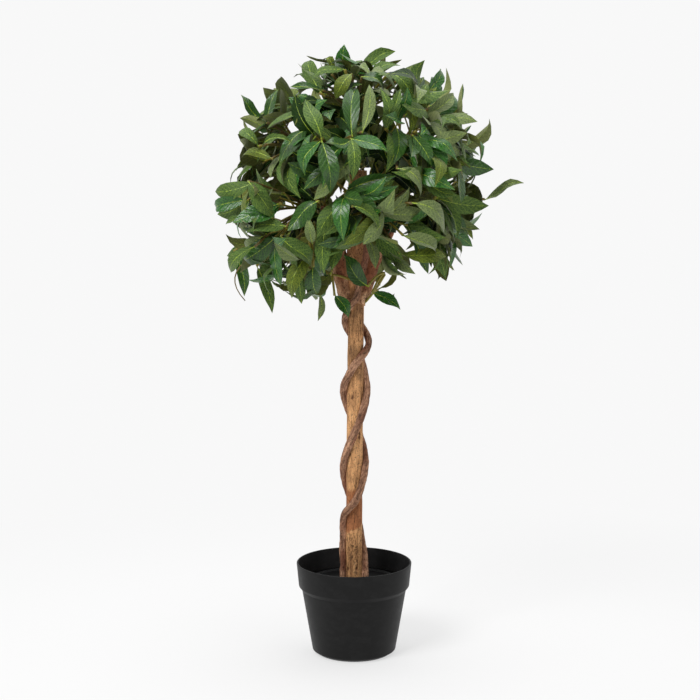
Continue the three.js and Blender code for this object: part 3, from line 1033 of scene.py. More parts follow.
@dataclass
class Liana(Wood):
    """A stem wound round the trunk, anticlockwise as it rises, seen from above."""

    name: str
    foot_bearing: float
    heights: tuple[float, ...]
    bows: tuple[float, ...]
    tip: tuple[Point, ...]
    trunk: Trunk
    radius: float = 5.5
    tip_radius: float = 4.4
    coil_radius: float = 16.9
    upright: float = 10.0
    per_quarter: int = 3
    steps: int = 38
    rings: int = 760
    sides: int = 36
    curve: Curve = field(init=False)

    def __post_init__(self) -> None:
        """Works out the liana's line: height, bearing and distance run smoothly by quarters."""
        ground = self.trunk.ground
        foot = self.trunk.foot_radius + self.radius + GAP
        knots = [[height, self.foot_bearing, foot] for height in (ground, ground + self.upright)]
        for i, (height, bow) in enumerate(zip(self.heights, self.bows)):
            knots.append([height, self.foot_bearing + 90.0 * i, self.coil_radius + bow])
        winding = Spline(np.array(knots), Knots.EVEN)
        coil = winding.at(np.linspace(0.0, 1.0, (len(knots) - 1) * self.per_quarter + 1))
        route = self.trunk.middle(coil[:, 0])
        route[:, 2] = coil[:, 0]
        route += heading(coil[:, 1], 0.0) * coil[:, 2:]
        self.curve = Spline(np.vstack([route, self.tip]))

    def radius_at(self, share: Array) -> Array:
        """Even as far as half way up, then tapering to the tip."""
        above = np.maximum(0.0, np.asarray(share, float) - 0.5) * 2.0
        return mix(self.radius, self.tip_radius, above)


@dataclass
class Bough(Wood):
    """One limb of the fork, from inside the trunk to the tip that carries a mass."""

    name: str
    route: tuple[Point, ...]
    radius: float
    tip_radius: float
    steps: int = 8
    rings: int = 240
    sides: int = 48
    curve: Curve = field(init=False)

    def __post_init__(self) -> None:
        """Works out the bough's line."""
        self.curve = Spline(np.array(self.route))

    def radius_at(self, share: Array) -> Array:
        """Tapers evenly from the fork to the tip."""
        return mix(self.radius, self.tip_radius, np.asarray(share, float))


@dataclass
class Woodwork:
    """Dresses the trunk, the lianas and the boughs with the relief of their bark."""

    trunk: Trunk
    lianas: list[Liana]
    boughs: list[Bough]
    front: float = 0.75
    peel_top: float = 246.0
    peel_foot: float = 187.0
    peel_slant: float = 5.5
    peel_half: tuple[float, float] = (18.0, 24.0)
    thin_peel: float = 0.12
    trunk_swell: float = 1.2
    fork_swell: float = 3.8
    fork_rise: tuple[float, float] = (528.0, 575.0)
    coarse_rise: tuple[float, float] = (380.0, 470.0)
    red_rise: tuple[float, float] = (500.0, 560.0)
    soil_fall: tuple[float, float] = (168.0, 186.0)
    crack_half: float = 0.035
    crack_depth: float = 0.9
    knot_depth: float = 1.8
    liana_swell: float = 0.4
    liana_inset: float = 1.6
    bough_swell: float = 5.4
    bough_inset: float = 2.0
    winding_radius: float = 5.5
    twist_length: float = 420.0
    lumps: Layer = Layer(55.0, 3, 1.0)
    dents: Layer = Layer(16.0, 9, 2.0)
    fibres: Layer = Layer(34.0, 34, 3.0)
    threads: Layer = Layer(13.0, 56, 4.0)
    cracks: Layer = Layer(62.0, 11, 5.0)
    ragged: Layer = Layer(14.0, 16, 6.0)
    blotches: Layer = Layer(9.0, 12, 8.0)
    soil: Layer = Layer(2.3, 40, 9.0)
    # Heights, and how strongly the wood is stained at each.
    stain_heights: tuple[float, ...] = (106, 130, 170, 400, 415, 455, 464, 488, 512, 560, 640)
    stains: tuple[float, ...] = (0.3, 0.15, 0.12, 0.12, 0.6, 0.55, 0.05, 0.05, 0.72, 0.72, 0.6)
    # The knots: place across the front, height and size.
    knots: tuple[tuple[float, float, float], ...] = (
        (-4.1, 384.0, 1.7),
        (6.2, 331.0, 1.5),
        (6.2, 325.0, 2.0),
        (-5.4, 308.5, 1.6),
        (-6.8, 300.0, 1.6),
        (4.0, 222.0, 1.6),
        (-8.3, 127.0, 1.4),
        (3.6, 128.0, 1.6),
        (10.2, 484.0, 2.4),
    )

    def bark_piece(
        self,
        name: str,
        middles: Array,
        outward: Array,
        radii: Array,
        relief: Array,
        extra: dict[str, Array],
        finish: bpy.types.Material,
    ) -> None:
        """Makes one limb's mesh: rings round its line, each point moved by the relief.

        Args:
            name: The piece's name; the solid that it replaces has the name without "_bark".
            middles: Points of the limb's line.
            outward: A direction off the line at each point, where the rings start.
            radii: Radius at each point of the line.
            relief: How far each ring's points stand out, in millimetres.
            extra: Further attributes, one value for each vertex.
            finish: The bark's material.
        """
        rows, sides = relief.shape
        along = unit(np.gradient(middles, axis=0))
        n = unit(outward - along * np.sum(outward * along, axis=1, keepdims=True))
        m = np.cross(along, n)
        angle = np.linspace(0.0, 2 * math.pi, sides, endpoint=False)
        ring = n[:, None] * np.cos(angle)[:, None] + m[:, None] * np.sin(angle)[:, None]
        points = middles[:, None] + ring * (radii[:, None] + relief)[:, :, None]
        run = np.concatenate([[0.0], np.cumsum(np.linalg.norm(np.diff(middles, axis=0), axis=1))])
        fibre = np.stack(
            [
                radii[:, None] * np.cos(angle),
                radii[:, None] * np.sin(angle),
                np.broadcast_to(run[:, None], relief.shape),
            ],
            axis=-1,
        )
        quads, caps = sleeve_faces(1, rows, sides)
        faces = quads.tolist() + caps.tolist()
        piece = add_piece(name, points, faces, [finish], [name.removesuffix("_bark")])
        height = (relief - relief.min()) / (relief.max() - relief.min())
        set_attribute(piece, "fibre", fibre.reshape(-1, 3) * MM)
        set_attribute(piece, "relief", height)
        for label in ("skin", "stain"):
            set_attribute(piece, label, extra.get(label, 0.0 * relief))
        last = (rows - 1) * sides
        set_sharp(piece, lambda a, b: ((a < sides) & (b < sides)) | ((a >= last) & (b >= last)))
        LOG.info("%s: %d faces", name, len(faces))

    def build_trunk(self) -> None:
        """Makes the trunk.

        Its relief is the sum of broad lumps, fibres drawn out along it, and cracks where a
        third layer of noise passes its middle value. The fibres are deeper towards the fork.
        """
        trunk = self.trunk
        share = np.linspace(0.0, 1.0, trunk.rings)
        middles = trunk.curve.even_at(share)
        height = middles[:, 2:]
        around = np.linspace(0.0, 1.0, trunk.sides, endpoint=False)[None, :]
        off_front = (around - self.front) * 2.0 * math.pi * trunk.radius
        lumps = self.lumps.at(around, height) - 0.5
        dents = self.dents.at(around, height) - 0.5
        fibres = np.abs(self.fibres.at(around, height) - 0.5) * 2.0
        threads = self.threads.at(around, height)
        crack_line = np.abs(self.cracks.at(around, height) - 0.5)
        coarse = 0.25 + 0.75 * smooth_step(*self.coarse_rise, height)
        crack = np.maximum(0.0, 1.0 - crack_line / self.crack_half) * (0.35 + 0.65 * coarse)
        swell = self.trunk_swell + self.fork_swell * smooth_step(*self.fork_rise, height)
        relief = 0.7 * lumps + 0.35 * dents
        relief = relief - coarse * (0.7 * (1.0 - fibres) + 0.35 * (1.0 - threads))
        relief += swell - self.crack_depth * crack
        pit = self.knot_pits(height, off_front)
        relief -= self.knot_depth * pit
        strength = np.interp(height, self.stain_heights, self.stains)
        blotch = self.blotches.at(around, height)
        stain = strength * smooth_step(0.62 - 0.5 * strength, 0.95 - 0.5 * strength, blotch)
        specks = 0.8 * smooth_step(0.66, 0.82, self.soil.at(around, height))
        specks = specks * (1.0 - smooth_step(*self.soil_fall, height))
        stain = np.maximum(0.8 * stain, np.maximum(smooth_step(0.25, 0.6, pit), 0.9 * specks))
        skin = np.maximum(self.peel(around, height, off_front), 0.45 * pit)
        skin = np.clip(skin + 0.6 * smooth_step(*self.red_rise, height), 0.0, 1.0)
        finish = Bark(
            hollow=linear(76, 44, 26),
            body=linear(215, 160, 108),
            proud=linear(248, 200, 146),
            skin=linear(182, 118, 76),
        ).material("stem_wood")
        outward = np.broadcast_to(np.array([1.0, 0.0, 0.0]), middles.shape)
        extra = {"skin": skin, "stain": stain}
        radii = trunk.radius_at(share)
        self.bark_piece("trunk_bark", middles, outward, radii, relief, extra, finish)

    def knot_pits(self, height: Array, off_front: Array) -> Array:
        """How deep the trunk's knots are: exp(-d^2), d the distance in sizes of the knot.

        Args:
            height: Heights, one to a ring.
            off_front: Distances round the trunk from its front line.

        Returns:
            Values from 0 to 1: ring, place round it.
        """
        radius = self.trunk.radius
        pit = np.zeros(np.broadcast_shapes(height.shape, off_front.shape))
        for x, z, size in self.knots:
            arc = math.asin(np.clip(x / radius, -1.0, 1.0)) * radius
            distance = np.hypot((off_front - arc) / size, (height - z) / (1.6 * size))
            pit = np.maximum(pit, np.exp(-(distance**2)))
        return pit

    def peel(self, around: Array, height: Array, off_front: Array) -> Array:
        """How far the smooth red-brown skin covers the trunk.

        It lies between two heights on the front, with a ragged upper edge and a slanted lower
        one, and thinner on a second stretch below the crown.

        Args:
            around: Places round the trunk, from 0 to 1.
            height: Heights, one to a ring.
            off_front: Distances round the trunk from its front line.

        Returns:
            Values from 0 to 1: ring, place round it.
        """
        ragged = 9.0 * (self.ragged.at(around, height) - 0.5)
        foot = self.peel_foot + self.peel_slant * off_front / self.trunk.radius
        top = 1.0 - smooth_step(self.peel_top - 3.0, self.peel_top + 3.0, height + ragged)
        bottom = smooth_step(foot - 1.5, foot + 1.5, height + 0.4 * ragged)
        front = 1.0 - smooth_step(*self.peel_half, np.abs(off_front))
        rise = smooth_step(462.0, 470.0, height + ragged)
        second = rise * (1.0 - smooth_step(488.0, 496.0, height + ragged))
        return np.maximum(top * bottom * front, self.thin_peel * second)

    def build_winding(self, limb: Liana | Bough, key: float, finish: bpy.types.Material) -> None:
        """Makes a liana or a bough, with long grooves and flakes along it.

        Args:
            limb: The liana or bough.
            key: Number that tells its noise from the others'.
            finish: Its bark.
        """
        share = np.linspace(0.0, 1.0, limb.rings)
        middles = limb.curve.even_at(share)
        run = (share * limb.curve.length())[:, None]
        around = np.linspace(0.0, 1.0, limb.sides, endpoint=False)[None, :]
        twist = (around + run / self.twist_length) % 1.0
        grooves = np.abs(Layer(46.0, 9, key).at(twist, run) - 0.5) * 2.0
        flakes = Layer(9.0, 12, key + 1.0).at(twist, run) - 0.5
        crumbs = Layer(3.4, 16, key + 4.0).at(twist, run) - 0.5
        lumps = Layer(26.0, 3, key + 2.0).at(around, run) - 0.5
        skin = smooth_step(0.45, 0.75, Layer(30.0, 4, key + 3.0).at(around, run))
        size = limb.radius / self.winding_radius
        relief = size * (1.1 * lumps - 1.1 * (1.0 - grooves) ** 2 + 0.8 * flakes + 0.5 * crumbs)
        axis = self.trunk.middle(np.clip(middles[:, 2], self.trunk.ground, self.trunk.tip_height))
        outward = middles - axis
        outward[:, 2] = 0.0
        if isinstance(limb, Liana):
            slot, swell = "liana_bark", self.liana_swell
            fork = self.trunk.fork_height
            inset = self.liana_inset * (1.0 - smooth_step(fork - 40.0, fork, middles[:, 2:]))
        else:
            slot, swell, inset = "bough_bark", self.bough_swell, self.bough_inset
        relief += swell
        middles = middles - inset * unit(outward)
        radii = limb.radius_at(share)
        name = f"{limb.name}_bark"
        self.bark_piece(name, middles, outward, radii, relief, {"skin": skin}, finish)

    def build(self) -> None:
        """Makes every woody piece."""
        self.build_trunk()
        vine = Bark(
            hollow=linear(42, 26, 20),
            body=linear(146, 106, 82),
            proud=linear(210, 162, 129),
            skin=linear(142, 94, 71),
            fibre_scale=520.0,
            fibre_stretch=0.4,
            cloud_scale=140.0,
        ).material("liana_bark")
        for i, liana in enumerate(self.lianas):
            self.build_winding(liana, 20.0 + 10.0 * i, vine)
        limb = Bark(
            hollow=linear(58, 34, 22),
            body=linear(170, 121, 89),
            proud=linear(222, 177, 139),
            skin=linear(156, 98, 68),
            fibre_scale=300.0,
            fibre_stretch=0.3,
            cloud_scale=110.0,
        ).material("bough_bark")
        for i, bough in enumerate(self.boughs):
            self.build_winding(bough, 50.0 + 10.0 * i, limb)


# ---- Growth of the crown ------------------------------------------------------------------


@dataclass
class Mass:
    """One mass of leaves: its axis from the crown's centre, its reach and what carries it."""

    name: str
    bearing: float
    elevation: float
    reach: float
    height: float | None = None
    tip_of: str | None = None
    hub: float = 88.0
    stem: Curve = field(init=False)

    @property
    def axis(self) -> Array:
        """Unit vector from the crown's centre through the mass."""
        return heading(self.bearing, self.elevation)


@dataclass
class Stray:
    """A single leaf that stands out of the ball, by its twig's tip and its own."""

    mass: str
    twig_tip: Point
    leaf_tip: Point
    breadth: float = 0.85
    tone: "LeafTone | None" = None
    wave: float = 0.0


@dataclass
class Shoot:
    """A bare shoot that hangs in an arc from a point near its mass, by the arc's three points."""

    mass: str
    arc: tuple[Point, ...]


@dataclass(frozen=True)
class Opening:
    """A round channel that leaves and twigs keep clear of; by default the one before the fork."""

    start: Point = (10.0, -20.0, 562.0)
    end: Point = (10.0, -215.0, 586.0)
    radius: float = 34.0

    @classmethod
    def right_through(cls, x: float, z: float, radius: float) -> "Opening":
        """Makes a channel through the whole crown, along the line from the eye.

        Args:
            x: Where it passes the plant's middle plane, to the right of its axis.
            z: Its height there.
            radius: Its radius.

        Returns:
            The channel.
        """
        middle = np.array([x, 0.0, z])
        half = HALF_CHANNEL * unit(middle - EYE)
        return cls(tuple(middle - half), tuple(middle + half), radius)

    def stretches(self) -> tuple[Array, Array, Array]:
        """The channel as one stretch that others keep clear of."""
        return np.array([self.start]), np.array([self.end]), np.array([self.radius])


@dataclass
class Leaf:
    """Where one leaf stands: its root, the direction along it, its upper side and its sizes."""

    root: Array
    along: Array
    lift: Array
    length: float
    keys: tuple[int, int, int]
    spray: int
    breadth: float = 1.0
    wave: float = 0.0
    tone: "LeafTone | None" = None

    @property
    def side(self) -> Array:
        """Unit vector across the leaf."""
        return np.cross(self.along, self.lift)


@dataclass(frozen=True)
class LeafRule:
    """The sizes and limits that leaves are set by."""

    length: float = 71.0
    length_spread: float = 0.13
    half_width: float = 14.0
    widest: float = 0.47
    arch: float = 1.6
    root_half: float = 0.7
    root_depth: float = 1.4
    root_step: float = 3.6
    neck: float = 0.04
    attempts: int = 27
    upright: float = 1e-4
    swing_step: float = 19.0
    clear: float = 5.5
    whorl: int = 5
    side_at: float = 0.56
    tilt_low: float = 46.0
    tilt_high: float = 84.0
    tilt_side: float = 58.0
    tilt_cuts: tuple[float, ...] = (1.0, 0.75, 0.5)
    droop: float = 0.42
    top_droop: float = 0.1
    face_roll: float = 0.5
    inner: int = 4
    inner_at: float = 0.5
    inner_step: float = 0.12


@dataclass(frozen=True)
class TwigRule:
    """The sizes of stems and twigs, and where twig tips stand."""

    stem_radius: float = 3.0
    hub_radius: float = 2.6
    knee: float = 26.0
    knee_rise: float = 30.0
    tip_knee: float = 15.6
    stem_steps: int = 4
    radius: float = 1.9
    tip_radius: float = 1.6
    bow: float = 9.0
    sunk: float = 2.0
    clear: float = 1.0
    outward: float = 0.6
    steps: int = 2
    tips: int = 90
    lowest_sine: float = -0.93
    inset: float = 51.0
    jitter: float = 18.0
    bearing_jitter: float = 14.0
    from_plane: float = 4.0
    pull: float = 0.08


@dataclass(frozen=True)
class FineRule:
    """The finer twigs that branch off each twig, and their smaller leaves."""

    starts: tuple[float, ...] = (0.42, 0.72)
    length: tuple[float, float] = (20.0, 34.0)
    tilt: float = 52.0
    radius: float = 1.25
    tip_radius: float = 1.0
    whorl: int = 3
    leaf_size: float = 0.86
    root_step: float = 2.6
    bow: float = 0.08
    draw_step: int = 10
    spray_step: int = 200


def segment_gaps(a: Array, b: Array, c: Array, d: Array) -> Array:
    """Shortest distance from each segment a-b to each segment c-d.

    Args:
        a: Starts of the first segments.
        b: Their ends.
        c: Starts of the second segments.
        d: Their ends.

    Returns:
        Distances: first segment, second segment.
    """
    ab, cd = (b - a)[:, None], (d - c)[None, :]
    ca = a[:, None] - c[None, :]
    abab, cdcd, abcd = (np.sum(x * y, axis=-1) for x, y in ((ab, ab), (cd, cd), (ab, cd)))
    cdca, abca = np.sum(cd * ca, axis=-1), np.sum(ab * ca, axis=-1)
    spread = abab * cdcd - abcd * abcd
    safe = np.where(spread > 1e-9, spread, 1.0)
    s = np.where(spread > 1e-9, np.clip((abcd * cdca - abca * cdcd) / safe, 0.0, 1.0), 0.0)
    t = np.clip((abcd * s + cdca) / cdcd, 0.0, 1.0)
    s = np.clip((abcd * t - abca) / abab, 0.0, 1.0)
    return np.linalg.norm(ca + ab * s[..., None] - cd * t[..., None], axis=-1)


def pierces(edges: Array, faces: Array) -> bool:
    """Whether any of some edges passes through any of some triangles.

    Args:
        edges: Edge, end, coordinate.
        faces: Triangle, corner, coordinate.

    Returns:
        True if one does.
    """
    if not len(edges) or not len(faces):
        return False
    start, along = edges[:, None, 0], (edges[:, 1] - edges[:, 0])[:, None]
    first, second = (faces[:, i] - faces[:, 0] for i in (1, 2))
    normal = np.cross(first, second)[None]
    facing = np.sum(along * normal, axis=-1)
    sign = np.sign(facing)
    size = np.abs(facing)
    off = start - faces[None, :, 0]
    u = sign * np.sum(along * np.cross(off, second[None]), axis=-1)
    v = sign * np.sum(along * np.cross(first[None], off), axis=-1)
    depth = -sign * np.sum(off * normal, axis=-1)
    in_face = (size > 0) & (u >= 0) & (v >= 0) & (u + v <= size)
    return bool(np.any(in_face & (depth >= 0) & (depth < size)))


@dataclass
class Growth:
    """What has grown in one mass so far, to keep new leaves from crossing it."""

    edges: list[Array] = field(default_factory=list)
    faces: list[Array] = field(default_factory=list)

    def crossed_by(self, edges: Array, faces: Array) -> bool:
        """Whether a new blade crosses anything grown.

        Args:
            edges: The blade's edges.
            faces: The blade's triangles.

        Returns:
            True if an edge passes through a face, of the blade or of what has grown.
        """
        if self.faces and pierces(edges, np.concatenate(self.faces)):
            return True
        return bool(self.edges) and pierces(np.concatenate(self.edges), faces)

    def add(self, edges: Array, faces: Array | None = None) -> None:
        """Takes in what has grown.

        Args:
            edges: The edges of a twig or a blade.
            faces: The blade's triangles.
        """
        self.edges.append(edges)
        if faces is not None:
            self.faces.append(faces)


@dataclass
class Spray:
    """The stems, twigs and leaves of one mass."""

    mass: Mass
    twigs: list[tuple[Curve, float, float]] = field(default_factory=list)
    leaves: list[Leaf] = field(default_factory=list)


@dataclass
class Crown:
    """Grows the crown by the part's own rule, and carries it on to finer twigs."""

    limbs: list[Limb]
    trunk: Trunk
    masses: list[Mass]
    strays: list[Stray]
    shoots: list[Shoot]
    openings: tuple[Opening, ...] = (
        Opening(),
        Opening.right_through(-99.0, 653.0, 5.0),
        Opening.right_through(66.0, 618.0, 4.5),
        Opening.right_through(-87.0, 774.0, 3.0),
        Opening.right_through(72.0, 770.0, 2.0),
    )
    # Leaves whose roots stand closer than this to the crown's centre get the painted shade tone.
    painted_shade_reach: float = 118.0
    centre: Array = field(default_factory=lambda: np.array([4.0, 0.0, 700.0]))
    lowest: float = 484.0
    margin: float = 0.5
    stray_face: tuple[float, float] = (270.0, 40.0)
    stray_key: int = 90
    stray_spray: int = 500
    leaf: LeafRule = LeafRule()
    twig: TwigRule = TwigRule()
    fine: FineRule = FineRule()
    inner_fine: FineRule = FineRule(starts=(0.3, 0.42, 0.54, 0.66, 0.78, 0.9), length=(14.0, 28.0))

    def __post_init__(self) -> None:
        """Works out the masses' stems, and what each mass keeps clear of."""
        for mass in self.masses:
            mass.stem = self.stem_of(mass)
        stems = [Limb(m.name, m.stem, self.stem_radius, self.twig.stem_steps) for m in self.masses]
        self.blocks: dict[str, tuple[Array, ...]] = {}
        for mass in self.masses:
            others = [stem for stem in stems if stem.name != mass.name]
            parts = [block.stretches() for block in [*self.limbs, *others, *self.openings]]
            self.blocks[mass.name] = tuple(np.concatenate([p[i] for p in parts]) for i in range(3))

    def stem_radius(self, share: Array) -> Array:
        """A stem's radius by the share of its length."""
        return mix(self.twig.stem_radius, self.twig.hub_radius, np.asarray(share, float))

    def stem_of(self, mass: Mass) -> Curve:
        """Bends a mass's stem from the trunk's middle, or just past a limb's tip, to its hub.

        Args:
            mass: The mass.

        Returns:
            The stem's line.
        """
        hub = self.centre + mass.axis * mass.hub
        if mass.tip_of:
            curve = next(limb.curve for limb in self.limbs if limb.name == mass.tip_of)
            onward = curve.even_along(1.0)
            start = curve.even_at(1.0) + onward * GAP
            return Bend(start, start + onward * self.twig.tip_knee, hub)
        start = self.trunk.middle(mass.height)
        knee = start + heading(mass.bearing, self.twig.knee_rise) * self.twig.knee
        return Bend(start, knee, hub)

    def inside(self, mass: Mass, points: Array) -> Array:
        """How far points lie inside a mass's space, whose sides are planes through the centre.

        Args:
            mass: The mass.
            points: Points along the last axis.

        Returns:
            The distance from each point to the nearest plane, negative outside the space.
        """
        others = [other.axis for other in self.masses if other is not mass]
        normals = unit(mass.axis - np.array(others))
        return np.min((points - self.centre) @ normals.T, axis=-1)

    def clear_of_limbs(self, mass: Mass, edges: Array, clearance: float) -> bool:
        """Whether edges stay clear of the limbs, the other masses' stems and the openings.

        Args:
            mass: The mass that the edges belong to.
            edges: Edge, end, coordinate.
            clearance: The least distance from a limb's surface.

        Returns:
            True if all do.
        """
        starts, ends, radii = self.blocks[mass.name]
        gaps = segment_gaps(edges[:, 0], edges[:, 1], starts, ends)
        return bool(np.all(gaps > radii + clearance))

    def corners(self, root: Array, along: Array, face: Array, length: float) -> tuple[Array, Array]:
        """Works out the corners of a plain blade that stands for a leaf.

        Args:
            root: Where the leaf stands.
            along: The direction along it.
            face: About where its upper side faces.
            length: Its length.

        Returns:
            The root's top and bottom, the widest pair and the tip, and the upper side.
        """
        side = unit(np.cross(along, face))
        lift = np.cross(side, along)
        half = self.leaf.half_width * length / self.leaf.length
        widest = root + along * length * self.leaf.widest + lift * self.leaf.arch
        corners = [
            root + lift * self.leaf.root_half,
            root - lift * self.leaf.root_half,
            widest + side * half,
            widest - side * half,
            root + along * length,
        ]
        return np.array(corners), lift

    def fits(self, mass: Mass, corners: Array) -> bool:
        """Whether a leaf stays in its mass's space, within reach and clear of the limbs.

        Args:
            mass: The mass.
            corners: The leaf's five corners.

        Returns:
            True if it does.
        """
        tip = corners[4]
        if np.linalg.norm(tip - self.centre) > mass.reach or tip[2] < self.lowest:
            return False
        if np.any(self.inside(mass, corners) < self.margin):
            return False
        edges = corners[[[0, 2], [0, 3], [2, 3], [2, 4], [3, 4], [1, 4]]]
        return self.clear_of_limbs(mass, edges, self.leaf.clear)

    def blade(self, corners: Array) -> tuple[Array, Array]:
        """Takes the root off a leaf, for the tests of what crosses what.

        Args:
            corners: The leaf's five corners.

        Returns:
            The blade's edges and its two triangles.
        """
        root, _, left, right, tip = corners
        neck = mix(root, tip, self.leaf.neck)
        edges = np.array([[neck, left], [left, tip], [tip, right], [right, neck], [neck, tip]])
        return edges, np.array([[neck, left, tip], [neck, tip, right]])

    def leaf_at(
        self,
        mass: Mass,
        growth: Growth,
        root: Array,
        way: Array,
        turn: float,
        tilt: float,
        keys: tuple[int, int, int],
        spray: int,
        size: float = 1.0,
    ) -> Leaf | None:
        """One leaf, turned aside in steps until it fits and crosses nothing of its mass.

        Args:
            mass: The mass that it belongs to.
            growth: What has grown there so far.
            root: Where it stands.
            way: The twig's direction.
            turn: Its bearing round the twig, in radians.
            tilt: Its angle from the twig, in radians.
            keys: The numbers of its draws.
            spray: The number of the spray that it belongs to.
            size: Its length against a full leaf's.

        Returns:
            The leaf, or None if it never fits.
        """
        rule = self.leaf
        across = np.cross(way, UP)
        across = unit(across) if across @ across >= rule.upright else np.array([1.0, 0.0, 0.0])
        upward = np.cross(across, way)
        length = size * rule.length * (1 + rule.length_spread * (2 * SCATTER.draw(*keys) - 1))
        outward = unit(root - self.centre)
        droop = rule.droop * mix(1.0, rule.top_droop, max(0.0, outward[2]))
        roll = rule.face_roll * (SCATTER.draw(keys[0], keys[1], keys[2] + Draw.FACE) - 0.5)
        face = unit(outward + across * roll)
        for attempt in range(rule.attempts):
            steps = math.ceil(attempt / 2) * (1 if attempt % 2 else -1)
            swing = turn + math.radians(rule.swing_step) * steps
            bend = tilt * rule.tilt_cuts[attempt % len(rule.tilt_cuts)]
            along = way * math.cos(bend) + across * math.sin(bend) * math.cos(swing)
            along = unit(along + upward * math.sin(bend) * math.sin(swing) - UP * droop)
            corners, lift = self.corners(root, along, face, length)
            if not self.fits(mass, corners):
                continue
            blade = self.blade(corners)
            if growth.crossed_by(*blade):
                continue
            growth.add(*blade)
            return Leaf(root, along, lift, length, keys, spray)
        return None

    def tips_of(self, mass: Mass) -> list[tuple[int, Array]]:
        """Picks the twig tips that belong to a mass from the even spiral over the ball.

        Args:
            mass: The mass.

        Returns:
            Each tip's number and place.
        """
        rule = self.twig
        tips = []
        for k in range(rule.tips):
            elevation = math.degrees(math.asin(mix(1.0, rule.lowest_sine, (k + 0.5) / rule.tips)))
            bearing = k * GOLDEN_TURN + rule.bearing_jitter * SCATTER.draw(k, 0, Draw.BEARING)
            way = heading(bearing, elevation)
            out = mass.reach - rule.inset - rule.jitter * SCATTER.draw(k, 0, Draw.REACH)
            tip = self.centre + way * out
            if self.inside(mass, tip) < 0:
                continue
            while self.inside(mass, tip) < rule.from_plane:
                way = unit(mix(way, mass.axis, rule.pull))
                tip = self.centre + way * out
            tips.append((k, tip))
        return tips

    def hub_of(self, mass: Mass) -> Array:
        """Where a mass's twigs start, a little way back inside its stem."""
        return mass.stem.at(1.0) - mass.axis * self.twig.sunk

    def twigs_of(self, mass: Mass) -> list[tuple[int, Array, Curve, Array]]:
        """Grows a mass's twigs from its hub to their tips, where they clear every limb.

        Args:
            mass: The mass.

        Returns:
            Each twig's number, tip, curve and edges.
        """
        start = self.hub_of(mass)
        twigs = []
        for k, tip in self.tips_of(mass):
            curve = Bend(start, mix(start, tip, 0.5) + mass.axis * self.twig.bow, tip)
            points = curve.at(np.linspace(0.0, 1.0, self.twig.steps + 1))
            edges = np.stack([points[:-1], points[1:]], axis=1)
            if self.clear_of_limbs(mass, edges, self.twig.radius + self.twig.clear):
                twigs.append((k, tip, curve, edges))
        return twigs

    def whorl_leaves(
        self, mass: Mass, growth: Growth, k: int, tip: Array, curve: Curve
    ) -> list[Leaf | None]:
        """Sets the leaves of one twig: a whorl at its tip and one on the way.

        Args:
            mass: The mass that they belong to.
            growth: What has grown there so far.
            k: The twig's number.
            tip: The twig's tip.
            curve: The twig's line.

        Returns:
            The leaves, with None for one that never fits.
        """
        rule = self.leaf
        end = curve.along(1.0)
        way = unit(mix(end, unit(tip - self.centre), self.twig.outward))
        leaves = []
        for j in range(rule.whorl):
            share = j + 0.5 * SCATTER.draw(k, j, Draw.TURN) + SCATTER.draw(k, 0, Draw.WHORL)
            tilt = math.radians(mix(rule.tilt_low, rule.tilt_high, SCATTER.draw(k, j, Draw.TILT)))
            root = tip - end * (rule.root_depth + rule.root_step * j)
            turn = 2 * math.pi / rule.whorl * share
            keys = (k, j, Draw.LEAF)
            leaves.append(self.leaf_at(mass, growth, root, way, turn, tilt, keys, k))
        turn = math.pi * SCATTER.draw(k, 0, Draw.SIDE_TURN)
        tilt = math.radians(rule.tilt_side)
        place = curve.at(rule.side_at), curve.along(rule.side_at)
        leaves.append(self.leaf_at(mass, growth, *place, turn, tilt, (k, 0, Draw.SIDE), k))
        return leaves

    def inner_leaves(self, mass: Mass, growth: Growth, number: int) -> list[Leaf | None]:
        """Sets the leaves inside the crown, round a mass's stem.

        Args:
            mass: The mass that they belong to.
            growth: What has grown there so far.
            number: The mass's number.

        Returns:
            The leaves, with None for one that never fits.
        """
        rule = self.leaf
        leaves = []
        tilt, spray = math.radians(rule.tilt_side), self.twig.tips + number
        for j in range(rule.inner):
            at = rule.inner_at + rule.inner_step * j
            turn = 2 * math.pi / rule.inner * (j + SCATTER.draw(number, j, Draw.INNER_TURN))
            place = mass.stem.at(at), mass.stem.along(at)
            keys = (number, j, Draw.INNER)
            leaves.append(self.leaf_at(mass, growth, *place, turn, tilt, keys, spray))
        return leaves

    def fine_growth(
        self, mass: Mass, growth: Growth, k: int, curve: Curve, spray: Spray, rule: FineRule
    ) -> None:
        """Adds the finer twigs of one twig or stem, each with a small whorl that fits.

        Args:
            mass: The mass that they belong to.
            growth: What has grown there so far.
            k: The twig's number.
            curve: The twig's line.
            spray: Takes in the finer twigs and their leaves.
            rule: Their sizes and places.
        """
        for j, at in enumerate(rule.starts):
            start, way = curve.at(at), curve.along(at)
            across = unit(np.cross(way, UP) + 1e-6)
            upward = np.cross(across, way)
            turn = 2 * math.pi * (SCATTER.draw(k, j, Draw.FINE_TURN) + 0.5 * j)
            tilt = math.radians(rule.tilt)
            out = across * math.cos(turn) + upward * math.sin(turn)
            onward = unit(way * math.cos(tilt) + out * math.sin(tilt))
            reach = mix(*rule.length, SCATTER.draw(k, j, Draw.FINE_REACH))
            end = start + onward * reach
            points = np.array([start, end])
            if self.inside(mass, end) < self.twig.from_plane:
                continue
            if not self.clear_of_limbs(mass, points[None], rule.radius + self.twig.clear):
                continue
            leaves = []
            own_spray = k + rule.spray_step * (j + 1)
            for i in range(rule.whorl):
                draw = j + rule.draw_step * i
                keys = (k, draw, Draw.FINE)
                root = end - onward * (self.leaf.root_depth + rule.root_step * i)
                turn = 2 * math.pi / rule.whorl * (i + SCATTER.draw(k, draw, Draw.FINE_TILT))
                tilt = mix(self.leaf.tilt_low, self.leaf.tilt_high, SCATTER.draw(*keys))
                place = root, onward, turn, math.radians(tilt)
                leaf = self.leaf_at(mass, growth, *place, keys, own_spray, rule.leaf_size)
                leaves += [leaf] if leaf else []
            if leaves:
                bend = mix(start, end, 0.5) + UP * reach * rule.bow
